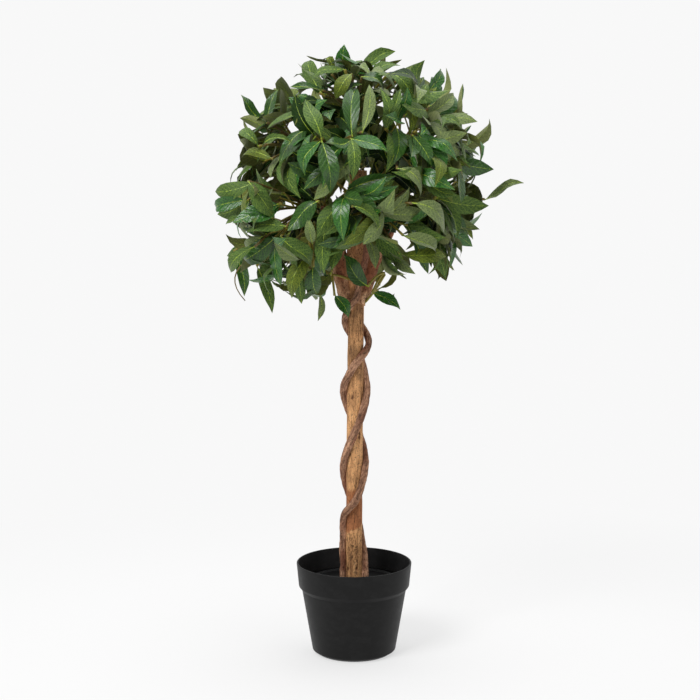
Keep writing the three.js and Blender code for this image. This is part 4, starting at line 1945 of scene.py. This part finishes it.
                spray.twigs.append((Bend(start, bend, end), rule.radius, rule.tip_radius))
                spray.leaves += leaves

    def bowed_twig(self, hub: Array, end: Array) -> Bend:
        """The line of a twig of its own from a mass's hub, bowed upwards."""
        return Bend(hub, mix(hub, end, 0.5) + UP * self.twig.bow, end)

    def stray_growth(self, mass: Mass, spray: Spray) -> None:
        """Adds a mass's single leaves and bare shoots, on twigs of their own.

        Args:
            mass: The mass.
            spray: Takes in the twigs and the leaves.
        """
        hub = self.hub_of(mass)
        twig, fine = self.twig, self.fine
        for i, stray in enumerate(s for s in self.strays if s.mass == mass.name):
            end, leaf_tip = np.array(stray.twig_tip), np.array(stray.leaf_tip)
            spray.twigs.append((self.bowed_twig(hub, end), twig.radius, twig.tip_radius))
            along = unit(leaf_tip - end)
            root = end - along * self.leaf.root_depth
            length = float(np.linalg.norm(leaf_tip - root))
            _, lift = self.corners(root, along, heading(*self.stray_face), length)
            keys = (i, self.stray_key, self.stray_key)
            shape = stray.breadth, stray.wave, stray.tone
            spray.leaves.append(Leaf(root, along, lift, length, keys, self.stray_spray + i, *shape))
        for shoot in (s for s in self.shoots if s.mass == mass.name):
            start, knee, end = (np.array(point, float) for point in shoot.arc)
            spray.twigs.append((self.bowed_twig(hub, start), twig.radius, fine.radius))
            spray.twigs.append((Bend(start, knee, end), fine.radius, 0.6 * fine.tip_radius))

    def grow(self) -> list[Spray]:
        """Grows every mass, and gives the leaves near the crown's centre the tone of painted shade.

        Returns:
            The twigs and leaves of each.
        """
        sprays = []
        for number, mass in enumerate(self.masses):
            spray, growth = Spray(mass), Growth()
            twigs = self.twigs_of(mass)
            for _, _, curve, edges in twigs:
                growth.add(edges)
                spray.twigs.append((curve, self.twig.radius, self.twig.tip_radius))
            self.stray_growth(mass, spray)
            leaves: list[Leaf | None] = []
            for k, tip, curve, _ in twigs:
                leaves += self.whorl_leaves(mass, growth, k, tip, curve)
            leaves += self.inner_leaves(mass, growth, number)
            spray.leaves += [leaf for leaf in leaves if leaf]
            for k, _, curve, _ in twigs:
                self.fine_growth(mass, growth, k, curve, spray, self.fine)
            stem_number = 2 * self.twig.tips + number
            self.fine_growth(mass, growth, stem_number, mass.stem, spray, self.inner_fine)
            # Painted shade: leaves near the crown's centre get the darkest tone, for the shade that
            # falls inside the ball.
            for leaf in spray.leaves:
                if leaf.tone is None and np.linalg.norm(leaf.root - self.centre) < self.painted_shade_reach:
                    leaf.tone = LeafTone.SHADED
            sprays.append(spray)
        return sprays


# ---- Leaves and twigs as meshes -----------------------------------------------------------


class LeafTone(Enum):
    """The greens that leaves are printed in; the last is painted shade, a darker copy of a green
    given to the sprays deep inside the crown.
    """

    DEEP = LeafFabric("leaf_deep_green", linear(13, 45, 13), linear(72, 116, 34), 0.3, 0.05, 0.42)
    BRIGHT = LeafFabric(
        "leaf_bright_green", linear(11, 62, 20), linear(78, 134, 40), 0.27, 0.05, 0.45
    )
    GREY = LeafFabric("leaf_grey_green", linear(34, 65, 24), linear(114, 140, 54), 0.55)
    DUSTY = LeafFabric("leaf_dusty_green", linear(70, 89, 52), linear(144, 158, 92), 0.62, 0.2)
    OLIVE = LeafFabric("leaf_olive_green", linear(47, 68, 13), linear(124, 136, 38), 0.55)
    DARK = LeafFabric("leaf_dark_green", linear(9, 33, 8), linear(52, 82, 24), 0.42)
    # Painted shade: a near-black green, dull and without sheen, for the leaves deep in the crown
    # where shade falls.
    SHADED = LeafFabric("leaf_painted_shade_green", linear(9, 30, 6), linear(44, 72, 18), 0.6, 0.0, 0.1)


class UnderTone(Enum):
    """The paler undersides."""

    SAGE = LeafFabric("underside_sage", linear(112, 121, 70), linear(144, 152, 94), 0.7, 0.2)
    # Partly the real underside of some leaves, partly painted shade on the undersides of the leaves
    # deep in the crown.
    OLIVE = LeafFabric("underside_olive", linear(80, 88, 32), linear(120, 126, 50), 0.68)


class StemTone(Enum):
    """The yellow-greens of twigs and midribs."""

    RIB = StemPlastic("midrib_yellow_green", linear(158, 180, 48), linear(74, 104, 34))
    STEM = StemPlastic("stem_olive_yellow", linear(138, 128, 42), linear(116, 106, 38))
    OLD = StemPlastic("stem_olive_brown", linear(108, 92, 34), linear(88, 72, 30))


class Form(Enum):
    """What is drawn for each leaf: its draw, the values for 0 and 1, and the draw's power."""

    ARCH = (1, -3.0, 15.0, 1.0)
    SWAY = (2, -6.5, 6.5, 1.0)
    FOLD = (3, -0.1, 0.95, 1.4)
    CUP = (4, 0.05, 0.42, 1.0)
    RIPPLE = (5, 0.2, 1.9, 1.0)
    PHASE = (6, 0.0, 2 * math.pi, 1.0)
    TWIST = (7, -1.1, 1.1, 1.0)
    BREADTH = (8, 0.84, 1.12, 1.0)
    TONE = (9, 0.0, 1.0, 1.0)
    UNDERSIDE = (10, 0.0, 1.0, 1.0)
    WAVE = (11, -4.2, 4.2, 1.0)
    CURL = (12, -0.05, 0.3, 1.7)


@dataclass
class Foliage:
    """Makes the meshes of the leaves and the twigs, mass by mass.

    A leaf is a closed sleeve of eight points a ring: left edge, left middle, rib left, rib
    right, right middle, right edge, and the rib's two points underneath.
    """

    stations: tuple[float, ...] = (0.0, 0.065, 0.14, 0.27, 0.43, 0.59, 0.74, 0.88, 1.0)
    petiole: float = 0.06
    petiole_half: float = 0.75
    half_width: float = 12.6
    tip_half: float = 0.15
    rise_power: float = 0.66
    fall_power: float = 0.76
    drawn_tip: float = 0.3
    curl_from: float = 0.5
    curl_back: float = 0.35
    ripples: float = 1.6
    rib_half: tuple[float, float] = (0.55, 0.16)
    rib_depth: tuple[float, float] = (1.3, 0.9)
    across: tuple[float, ...] = (-1.0, -0.54, 0.0, 0.0, 0.54, 1.0, 0.0, 0.0)
    rib_side: tuple[float, ...] = (0.0, 0.0, -1.0, 1.0, 0.0, 0.0, 1.0, -1.0)
    unrolled: tuple[float, ...] = (0.0, 0.12, 0.24, 0.28, 0.40, 0.52, 0.74, 0.78, 1.0)
    tone_shares: tuple[float, ...] = (0.24, 0.40, 0.66, 0.80, 0.90, 1.0)
    spray_weight: float = 0.55
    olive_from: float = 0.6
    edges: tuple[int, int] = (0, 5)
    undersides: tuple[int, int] = (5, 7)
    ribs: tuple[int, int] = (2, 6)
    cell_filled: float = 0.96
    cell_shape: float = 1.35
    stem_slim: float = 0.62
    twig_rings: int = 9
    twig_sides: int = 8
    old_from: float = 0.7

    @staticmethod
    def drawn(leaves: list[Leaf], form: Form) -> Array:
        """Draws one repeatable value for each leaf: low + (high - low) draw^power.

        Args:
            leaves: The leaves.
            form: What is drawn.

        Returns:
            The values, one to a row.
        """
        number, low, high, power = form.value
        keys = np.array([leaf.keys for leaf in leaves], float)
        draws = SCATTER.draw(keys[:, 0] + 3 * number, keys[:, 1] + 0.5, keys[:, 2] + number)
        return mix(low, high, draws**power)[:, None]

    def outline(self, u: Array) -> Array:
        """A leaf's half width against its widest.

        Past the petiole, s^a (1-s)^b over its peak, where s is the share of the blade, drawn in
        a little more towards the tip.

        Args:
            u: Shares of the leaf's length.

        Returns:
            The half width at each share.
        """
        s = np.clip((u - self.petiole) / (1.0 - self.petiole), 0.0, 1.0)
        peak = self.rise_power / (self.rise_power + self.fall_power)
        top = peak**self.rise_power * (1 - peak) ** self.fall_power
        drawn = 1.0 - self.drawn_tip * smooth_step(0.7, 1.0, s)
        return s**self.rise_power * (1 - s) ** self.fall_power / top * drawn

    def leaf_points(self, leaves: list[Leaf]) -> Array:
        """Works out the points of leaves.

        The midrib is root + along u L + lift (4 a u (1-u) + b sin 2 pi u), with a its arch and b
        its wave, bowed sideways by sway as by its arch, and its last part curls down by curl L
        v^2, with v the share of that part. Across it the blade is folded up by the angle fold,
        falls by cup x^2 / w and ripples towards the edge, and it turns about the midrib by
        twist (u - 1/2).

        Args:
            leaves: The leaves.

        Returns:
            Points: leaf, station, place round the ring, coordinate.
        """
        u = np.array(self.stations)[None, :]
        root, along, lift, side = (
            np.array([getattr(leaf, name) for leaf in leaves])[:, None, :]
            for name in ("root", "along", "lift", "side")
        )
        length, breadth, own_wave = (
            np.array([getattr(leaf, name) for leaf in leaves])[:, None]
            for name in ("length", "breadth", "wave")
        )
        arch, sway, fold, cup, ripple, phase, twist, broad, wave, curl = (
            self.drawn(leaves, form)
            for form in Form
            if form not in (Form.TONE, Form.UNDERSIDE)
        )
        broad, wave = broad * breadth, wave + own_wave
        hump = 4.0 * u * (1.0 - u)
        last = np.maximum(0.0, u - self.curl_from) / (1.0 - self.curl_from)
        drop = curl * length * last**2
        spine = root + along * (length * u - self.curl_back * np.abs(drop))[..., None]
        rise_of_spine = arch * hump + wave * np.sin(2 * math.pi * u) - drop
        spine = spine + lift * rise_of_spine[..., None] + side * (sway * hump)[..., None]
        turn = twist * (u - 0.5)
        span = side * np.cos(turn)[..., None] + lift * np.sin(turn)[..., None]
        rise = lift * np.cos(turn)[..., None] - side * np.sin(turn)[..., None]
        widest = self.half_width * broad * length / LeafRule.length
        ends = mix(self.petiole_half, self.tip_half, smooth_step(0.1, 0.9, u))
        half = np.maximum(widest * self.outline(u), ends)
        rib = np.minimum(mix(*self.rib_half, u), 0.6 * half)
        depth = np.minimum(mix(*self.rib_depth, u), 1.6 * half)
        across = np.array(self.across)
        flat = np.cos(fold)[..., None] * across
        x = half[..., None] * flat + rib[..., None] * np.array(self.rib_side)
        away = np.abs(across) * half[..., None]
        z = np.sin(fold)[..., None] * away - cup[..., None] * away**2 / widest[..., None]
        waves = np.sin(2 * math.pi * self.ripples * u + phase)[..., None] * across
        z = z + ripple[..., None] * waves * (half / widest)[..., None]
        z[..., 2:4] += 0.25 * rib[..., None]
        z[..., 6:8] -= depth[..., None]
        return spine[:, :, None] + span[:, :, None] * x[..., None] + rise[:, :, None] * z[..., None]

    def match_underside(self, corners: Array) -> Array:
        """Starts the underside's two faces of each ring one corner on.

        A quad is split from its first corner to its third, so that both sides of a twisted
        blade are then split along the same lines and neither shows through the other.

        Args:
            corners: Values of the quads' corners: any, place round the ring, corner.

        Returns:
            The same values with the underside's corners moved on by one.
        """
        turned, under = corners.copy(), list(self.undersides)
        turned[..., under, :] = np.roll(corners[..., under, :], -1, axis=-1)
        return turned

    def leaf_maps(self, count: int) -> tuple[Array, Array]:
        """Makes two maps of leaves: one over each blade, one laid out side by side.

        Args:
            count: Number of leaves.

        Returns:
            For each corner of each face, its place on its own leaf (along, across), and its
            place in a grid of cells that holds every leaf once, unrolled.
        """
        rows, sides = len(self.stations), len(self.across)
        row, ring = np.broadcast_arrays(
            np.arange(rows - 1)[:, None, None] + np.array([0, 0, 1, 1]),
            np.arange(sides)[None, :, None] + np.array([0, 1, 1, 0]),
        )
        row, ring = self.match_underside(row), self.match_underside(ring)
        u, over = np.array(self.stations)[row], (np.array(self.across) + 1.0) / 2.0
        blade = np.stack([u, over[ring % sides]], axis=-1).reshape(-1, 2)
        flat = np.stack([0.04 + 0.92 * u, np.array(self.unrolled)[ring]], axis=-1).reshape(-1, 2)
        angle = np.linspace(0.0, 2 * math.pi, sides, endpoint=False)
        disc = np.stack([0.010 * np.cos(angle), 0.4 * np.sin(angle)], axis=-1)
        near, far = disc + [0.018, 0.5], disc + [0.982, 0.5]
        columns = max(1, round(math.sqrt(count / self.cell_shape)))
        cell = np.arange(count)
        middle = np.stack([cell % columns, cell // columns], axis=-1)[:, None] + 0.5
        size = np.array([1.0 / columns, 1.0 / math.ceil(count / columns)])
        laid = [(middle + (part - 0.5) * self.cell_filled) * size for part in (flat, near, far)]
        caps = np.full((count * sides * 2, 2), 0.5)
        own = np.concatenate([np.tile(blade, (count, 1)), caps])
        return own, np.concatenate([part.reshape(-1, 2) for part in laid])

    def tones_of(self, leaves: list[Leaf]) -> tuple[Array, Array]:
        """Deals out the greens: most of each draw is the spray's, the rest the leaf's own.

        Args:
            leaves: The leaves.

        Returns:
            For each leaf, the number of its upper green and of its underside's.
        """
        sprays = np.array([leaf.spray for leaf in leaves])
        own = self.drawn(leaves, Form.TONE)[:, 0]
        pick = self.spray_weight * SCATTER.draw(sprays, 3.0, 5.0) + (1 - self.spray_weight) * own
        dealt = np.searchsorted(self.tone_shares, np.clip(pick, 0.0, 0.999), side="right")
        order = list(LeafTone)
        tone = np.array([order.index(leaf.tone) if leaf.tone else -1 for leaf in leaves])
        tone = np.where(tone >= 0, tone, dealt)
        olive = self.drawn(leaves, Form.UNDERSIDE)[:, 0] > self.olive_from
        # Painted shade: every leaf in the painted shade tone also gets the darker olive underside.
        return tone, olive | (tone == order.index(LeafTone.SHADED))

    def leaf_piece(
        self, name: str, leaves: list[Leaf], materials: list[bpy.types.Material], node: str
    ) -> None:
        """Makes one mass's leaves as one mesh.

        Args:
            name: The piece's name.
            leaves: The leaves.
            materials: Upper greens, undersides, then the midrib's.
            node: The part's solid that the piece stands for.
        """
        count, rows, sides = len(leaves), len(self.stations), len(self.across)
        quads, caps = sleeve_faces(count, rows, sides)
        quads = self.match_underside(quads.reshape(-1, sides, 4)).reshape(-1, 4)
        faces = quads.tolist() + caps.tolist()
        piece = add_piece(name, self.leaf_points(leaves), faces, materials, [node])
        mesh = piece.data
        own, laid = self.leaf_maps(count)
        for label, places in (("OFBake", laid), ("leaf", own)):
            mesh.uv_layers.new(name=label).data.foreach_set("uv", places.astype(np.float32).ravel())
        tone, under = self.tones_of(leaves)
        rib = len(LeafTone) + len(UnderTone)
        index = np.empty((count, rows - 1, sides), np.int32)
        index[:, :, :] = tone[:, None, None]
        index[:, :, list(self.undersides)] = len(LeafTone) + under[:, None, None]
        index[:, :, list(self.ribs)] = rib
        index[:, 0, :] = rib
        ends = np.full(2 * count, rib, np.int32)
        mesh.polygons.foreach_set("material_index", np.concatenate([index.ravel(), ends]))

        def sharp(a: Array, b: Array) -> Array:
            """Both blade edges, and the rims of the two end caps.

            Args:
                a: Vertex numbers of the edges' one end.
                b: Those of the other end.

            Returns:
                True for each sharp edge.
            """
            same_line = (a % sides == b % sides) & np.isin(a % sides, self.edges)
            row_a, row_b = a // sides % rows, b // sides % rows
            return same_line | ((row_a == row_b) & np.isin(row_a, [0, rows - 1]))

        set_sharp(piece, sharp)
        LOG.info("%s: %d leaves", name, count)

    def twig_piece(
        self, name: str, spray: Spray, crown: Crown, materials: list[bpy.types.Material]
    ) -> None:
        """Makes one mass's stem and twigs as one mesh, with a swelling at each twig's tip.

        Args:
            name: The piece's name.
            spray: The mass's twigs.
            crown: The crown, for the stem's radius.
            materials: The stem's tones.
        """
        share, sides = np.linspace(0.0, 1.0, self.twig_rings), self.twig_sides
        lines = [spray.mass.stem.at(share), *(curve.at(share) for curve, _, _ in spray.twigs)]
        stem = self.stem_slim * crown.stem_radius(share)
        radii = np.array([stem, *(mix(start, end, share) for _, start, end in spray.twigs)])
        swell = 1.0 + 0.28 * np.exp(-(((share - 0.97) / 0.06) ** 2))
        points = sleeves(np.array(lines), radii * swell, sides)
        quads, caps = sleeve_faces(len(lines), len(share), sides)
        piece = add_piece(name, points, quads.tolist() + caps.tolist(), materials)
        tone = (SCATTER.draw(np.arange(len(lines)), 7.0, 3.0) > self.old_from).astype(np.int32)
        index = np.concatenate([np.repeat(tone, (len(share) - 1) * sides), np.tile(tone, 2)])
        piece.data.polygons.foreach_set("material_index", index)
        LOG.info("%s: %d twigs", name, len(lines))

    def build(self, crown: Crown) -> None:
        """Grows the crown and makes its pieces."""
        rib, stem, old = (tone.value.material() for tone in StemTone)
        blades = [tone.value.material() for tone in [*LeafTone, *UnderTone]]
        total = 0
        for spray in crown.grow():
            name = spray.mass.name
            self.leaf_piece(f"{name}_leaves", spray.leaves, [*blades, rib], name)
            self.twig_piece(f"{name}_twigs", spray, crown, [stem, old])
            total += len(spray.leaves)
        LOG.info("leaves in all: %d", total)


# ---- Studio -------------------------------------------------------------------------------


@dataclass
class Studio:
    """A white floor that runs out into a white surround, soft lights and the camera."""

    camera_pitch: float = 8.76
    lens: float = 93.2
    sensor: float = 36.0
    floor_radius: float = 30.0
    floor_sides: int = 96
    floor_grey: Colour = (0.78, 0.78, 0.78)
    white: Colour = (0.94, 0.94, 0.94)
    room: float = 0.15
    lights_aim: Point = (0.0, 0.0, 0.6)

    def build_camera(self) -> None:
        """Sets the camera in front of the plant, looking slightly down."""
        data = bpy.data.cameras.new("camera")
        data.lens, data.sensor_width = self.lens, self.sensor
        camera = bpy.data.objects.new("camera", data)
        camera.location = (EYE * MM).tolist()
        camera.rotation_euler = (math.radians(90.0 - self.camera_pitch), 0.0, 0.0)
        bpy.context.scene.collection.objects.link(camera)
        bpy.context.scene.camera = camera

    def build_floor(self) -> None:
        """Makes the floor, which takes the plant's shadow and fades into the surround."""
        mesh = bpy.data.meshes.new("floor")
        angle = np.linspace(0.0, 2 * math.pi, self.floor_sides, endpoint=False)
        ring = np.stack([np.cos(angle), np.sin(angle), 0 * angle], axis=1) * self.floor_radius
        mesh.from_pydata(ring.tolist(), [], [list(range(self.floor_sides))])
        floor = bpy.data.objects.new("floor", mesh)
        bpy.context.scene.collection.objects.link(floor)
        shader = Shader("studio_floor")
        shader.set(Base_Color=self.floor_grey, Roughness=0.9, Specular_IOR_Level=0.1)
        glow = shader.node("ShaderNodeEmission", {"Color": self.white, "Strength": 1.0})
        away = shader.node("ShaderNodeVectorMath", {0: shader.place()}, operation="LENGTH")
        distance = shader.math("MULTIPLY", away.outputs["Value"], 0.5)
        fade = shader.ramp(distance, [(0.06, 0.62), (0.5, 1.0)])
        inputs = {0: fade, 1: shader.surface.outputs[0], 2: glow.outputs[0]}
        both = shader.node("ShaderNodeMixShader", inputs)
        out = shader.tree.nodes["Material Output"]
        shader.tree.links.new(both.outputs[0], out.inputs["Surface"])
        mesh.materials.append(shader.material)

    def build_lights(self) -> None:
        """Sets a broad key light, a fill and a top light, in the surround."""
        for name, place, size, power in (
            ("key", (-1.5, -1.9, 2.7), 1.3, 82.0),
            ("fill", (2.2, -1.8, 1.4), 1.8, 14.0),
            ("top", (0.2, 0.2, 3.0), 2.0, 42.0),
        ):
            data = bpy.data.lights.new(name, "AREA")
            data.energy, data.size, data.shape = power, size, "SQUARE"
            light = bpy.data.objects.new(name, data)
            light.location = place
            aim = np.array(self.lights_aim) - np.array(place)
            light.rotation_mode = "QUATERNION"
            light.rotation_quaternion = Vector(aim).to_track_quat("-Z", "Y")
            bpy.context.scene.collection.objects.link(light)
        self.build_surround()
        bpy.context.scene.view_settings.view_transform = "Standard"

    def build_surround(self) -> None:
        """Makes the world: a white wall behind the plant, and a dimmer room in front of it."""
        world = bpy.data.worlds.new("surround")
        world.use_nodes = True
        nodes, links = world.node_tree.nodes, world.node_tree.links
        place = nodes.new("ShaderNodeTexCoord")
        split = nodes.new("ShaderNodeSeparateXYZ")
        blend = nodes.new("ShaderNodeMapRange")
        blend.interpolation_type = "SMOOTHSTEP"
        blend.inputs["From Min"].default_value = -0.5
        blend.inputs["From Max"].default_value = 0.6
        blend.inputs["To Min"].default_value = self.room
        blend.inputs["To Max"].default_value = 1.0
        links.new(place.outputs["Generated"], split.inputs[0])
        links.new(split.outputs["Y"], blend.inputs["Value"])
        background = nodes["Background"]
        background.inputs["Color"].default_value = (*self.white, 1.0)
        links.new(blend.outputs["Result"], background.inputs["Strength"])
        bpy.context.scene.world = world

    def build(self) -> None:
        """Makes the whole studio."""
        self.build_camera()
        self.build_floor()
        self.build_lights()


# ---- The plant ----------------------------------------------------------------------------


def make_lianas(trunk: Trunk) -> list[Liana]:
    """The two lianas, with the heights where each passes its quarter turns."""
    left = Liana(
        "liana_left",
        180.0,
        (196.0, 230.0, 283.0, 341.0, 393.0, 434.0, 464.0, 497.0),
        (1.0, 0.0, 0.0, 0.4, 1.6, 0.4, 3.6, 0.0),
        ((-2.0, 20.5, 530.0), (4.0, 30.0, 570.0), (12.0, 42.0, 612.0)),
        trunk,
    )
    right = Liana(
        "liana_right",
        0.0,
        (122.0, 214.0, 277.0, 334.0, 393.0, 457.0, 497.0, 531.0),
        (0.4, 0.0, 0.6, 0.0, 1.4, 0.0, 0.8, 0.0),
        ((9.0, -19.0, 560.0), (16.0, -24.0, 590.0), (18.0, -34.0, 620.0)),
        trunk,
    )
    return [left, right]


def make_boughs() -> list[Bough]:
    """The two limbs of the fork."""
    left = ((-3, 4, 512), (-15, 5, 540), (-22, 0, 580), (-32, -7, 622), (-42, -13, 662))
    right = ((4, 2, 520), (18, 3, 548), (31, 1, 585), (48, -4, 625), (66, -8, 652))
    return [Bough("bough_left", left, 8.2, 5.6), Bough("bough_right", right, 8.0, 5.2)]


def make_masses() -> list[Mass]:
    """Names the masses: one on top, a ring of five above the middle, five below, two under.

    Returns:
        The masses, each with its stem still to be worked out.
    """
    upper = ((212.0, 676.0), (192.0, 690.0), (194.0, 672.0), (186.0, 688.0), (210.0, 664.0))
    return [
        Mass("mass_top", 0.0, 90.0, 191.0, tip_of="trunk"),
        *(
            Mass(f"mass_upper_{i + 1}", 28.0 + 72.0 * i, 27.0, reach, height)
            for i, (reach, height) in enumerate(upper)
        ),
        Mass("mass_lower_1", 352.0, -27.0, 198.0, tip_of="bough_right"),
        Mass("mass_lower_2", 64.0, -27.0, 198.0, tip_of="liana_left"),
        Mass("mass_lower_3", 136.0, -27.0, 206.0, 590.0),
        Mass("mass_lower_4", 208.0, -27.0, 222.0, tip_of="bough_left"),
        Mass("mass_lower_5", 280.0, -27.0, 202.0, tip_of="liana_right"),
        Mass("mass_under_1", 212.0, -72.0, 200.0, 550.0, hub=142.0),
        Mass("mass_under_2", 335.0, -72.0, 196.0, 512.0, hub=142.0),
    ]


def make_single_leaves() -> list[Stray]:
    """Sets the single leaves of each mass: those off the ball first, then the broad front ones.

    Returns:
        The leaves, each from its twig's tip, its own tip, its breadth, its tone and its wave.
    """
    bright, deep, grey = LeafTone.BRIGHT, LeafTone.DEEP, LeafTone.GREY
    dusty, olive = LeafTone.DUSTY, LeafTone.OLIVE
    rows = {
        "mass_top": (
            ((6, -8, 852), (58, -12, 884), 1.0, grey),
            ((-12, 2, 846), (-14, -2, 890), 1.35, bright),
            ((-4, -94, 848), (-30, -106, 817), 1.45, olive),
            ((-44, -72, 826), (-92, -62, 835), 0.95, deep),
            ((-13, -78, 854), (-60, -82, 837), 0.8, grey),
            ((-31, -62, 848), (-47, -50, 870), 1.0, olive),
            ((10, -88, 844), (44, -96, 830), 1.3, deep),
            ((46, -74, 848), (88, -90, 809), 1.1, grey),
            ((70, -44, 846), (103, -38, 846), 1.2, olive),
        ),
        "mass_upper_3": (
            ((-128, 8, 784), (-161, 8, 822)),
            ((-122, -54, 782), (-106, -44, 828), 0.8, deep),
            ((-131, -108, 751), (-160, -92, 779), 1.1, grey),
            ((-124, -122, 753), (-84, -128, 760), 1.1, grey),
            ((-113, -114, 734), (-156, -96, 733), 1.0, olive),
        ),
        "mass_upper_4": (
            ((-5, -160, 763), (-40, -166, 760), 1.35, deep),
            ((-5, -160, 763), (45, -171, 746), 1.15, bright),
            ((-5, -160, 763), (-2, -182, 709), 0.9, grey),
            ((-3, -158, 767), (3, -118, 839), 1.2, deep),
            ((10, -156, 772), (20, -122, 834), 0.7, dusty),
            ((-44, -154, 760), (-71, -165, 714), 1.15, bright),
            ((-44, -154, 760), (-30, -178, 689), 1.1, deep),
            ((-44, -153, 763), (-67, -123, 814), 1.1, grey),
        ),
        "mass_upper_5": (
            ((83, -135, 772), (125, -135, 711), 1.15, bright),
            ((78, -140, 767), (104, -150, 725), 1.1, deep),
            ((57, -162, 723), (99, -155, 687), 0.9, dusty, 2.0),
            ((101, -92, 803), (101, -74, 839), 1.3, grey),
        ),
        "mass_lower_1": (((186, -14, 672), (242, -18, 699), 0.62, dusty, -3.5),),
        "mass_lower_4": (
            ((-172, -20, 598), (-156, -26, 532), 0.7),
            ((-138, -50, 580), (-116, -54, 513), 0.7),
            ((-138, -98, 612), (-184, -85, 576), 1.1, grey),
            ((-145, -88, 653), (-184, -72, 644), 0.9, grey),
            ((-93, -122, 642), (-150, -118, 629), 1.2, grey),
            ((-101, -120, 628), (-52, -112, 588), 1.25, grey),
            ((-57, -138, 621), (-61, -148, 658), 1.2, dusty),
            ((-86, -98, 587), (-74, -88, 531), 0.9, grey),
            ((-57, -104, 585), (-47, -96, 538), 1.3, deep),
            ((-145, -122, 704), (-101, -132, 656), 1.3, grey),
            ((-49, -142, 678), (-91, -146, 638), 1.2, deep),
        ),
        "mass_lower_5": (
            ((11, -74, 634), (32, -72, 577), 0.8, dusty, 2.0),
            ((34, -74, 636), (51, -68, 582), 0.95, grey),
            ((78, -150, 676), (138, -128, 632), 1.0, dusty, 3.0),
            ((-3, -170, 673), (36, -170, 644), 1.4, grey),
            ((62, -130, 606), (126, -110, 598), 1.1, olive),
            ((66, -140, 632), (122, -118, 608), 1.1, dusty, 2.0),
            ((-7, -126, 613), (-54, -120, 599), 1.1, grey),
        ),
        "mass_under_1": (
            ((-50, -46, 540), (-52, -50, 500), 0.65, dusty, 2.0),
            ((-28, -34, 536), (-8, -38, 505), 1.4, bright),
        ),
        "mass_under_2": (
            ((20, -44, 551), (-14, -50, 599), 1.2, deep),
            ((26, -34, 540), (66, -42, 517), 1.1, bright),
        ),
    }
    return [Stray(mass, *row) for mass, leaves in rows.items() for row in leaves]


def make_shoots() -> list[Shoot]:
    """The bare shoots."""
    return [Shoot("mass_lower_4", ((-146, -44, 591), (-188, -44, 566), (-155, -44, 530)))]


def main() -> None:
    """Builds the studio and the plant, piece by piece."""
    Studio().build()
    Pot().build()
    trunk = Trunk()
    lianas = make_lianas(trunk)
    boughs = make_boughs()
    Woodwork(trunk, lianas, boughs).build()
    limbs = [trunk.limb(), *(limb.limb() for limb in (*lianas, *boughs))]
    crown = Crown(limbs, trunk, make_masses(), make_single_leaves(), make_shoots())
    Foliage().build(crown)


if __name__ == "__main__":
    main()
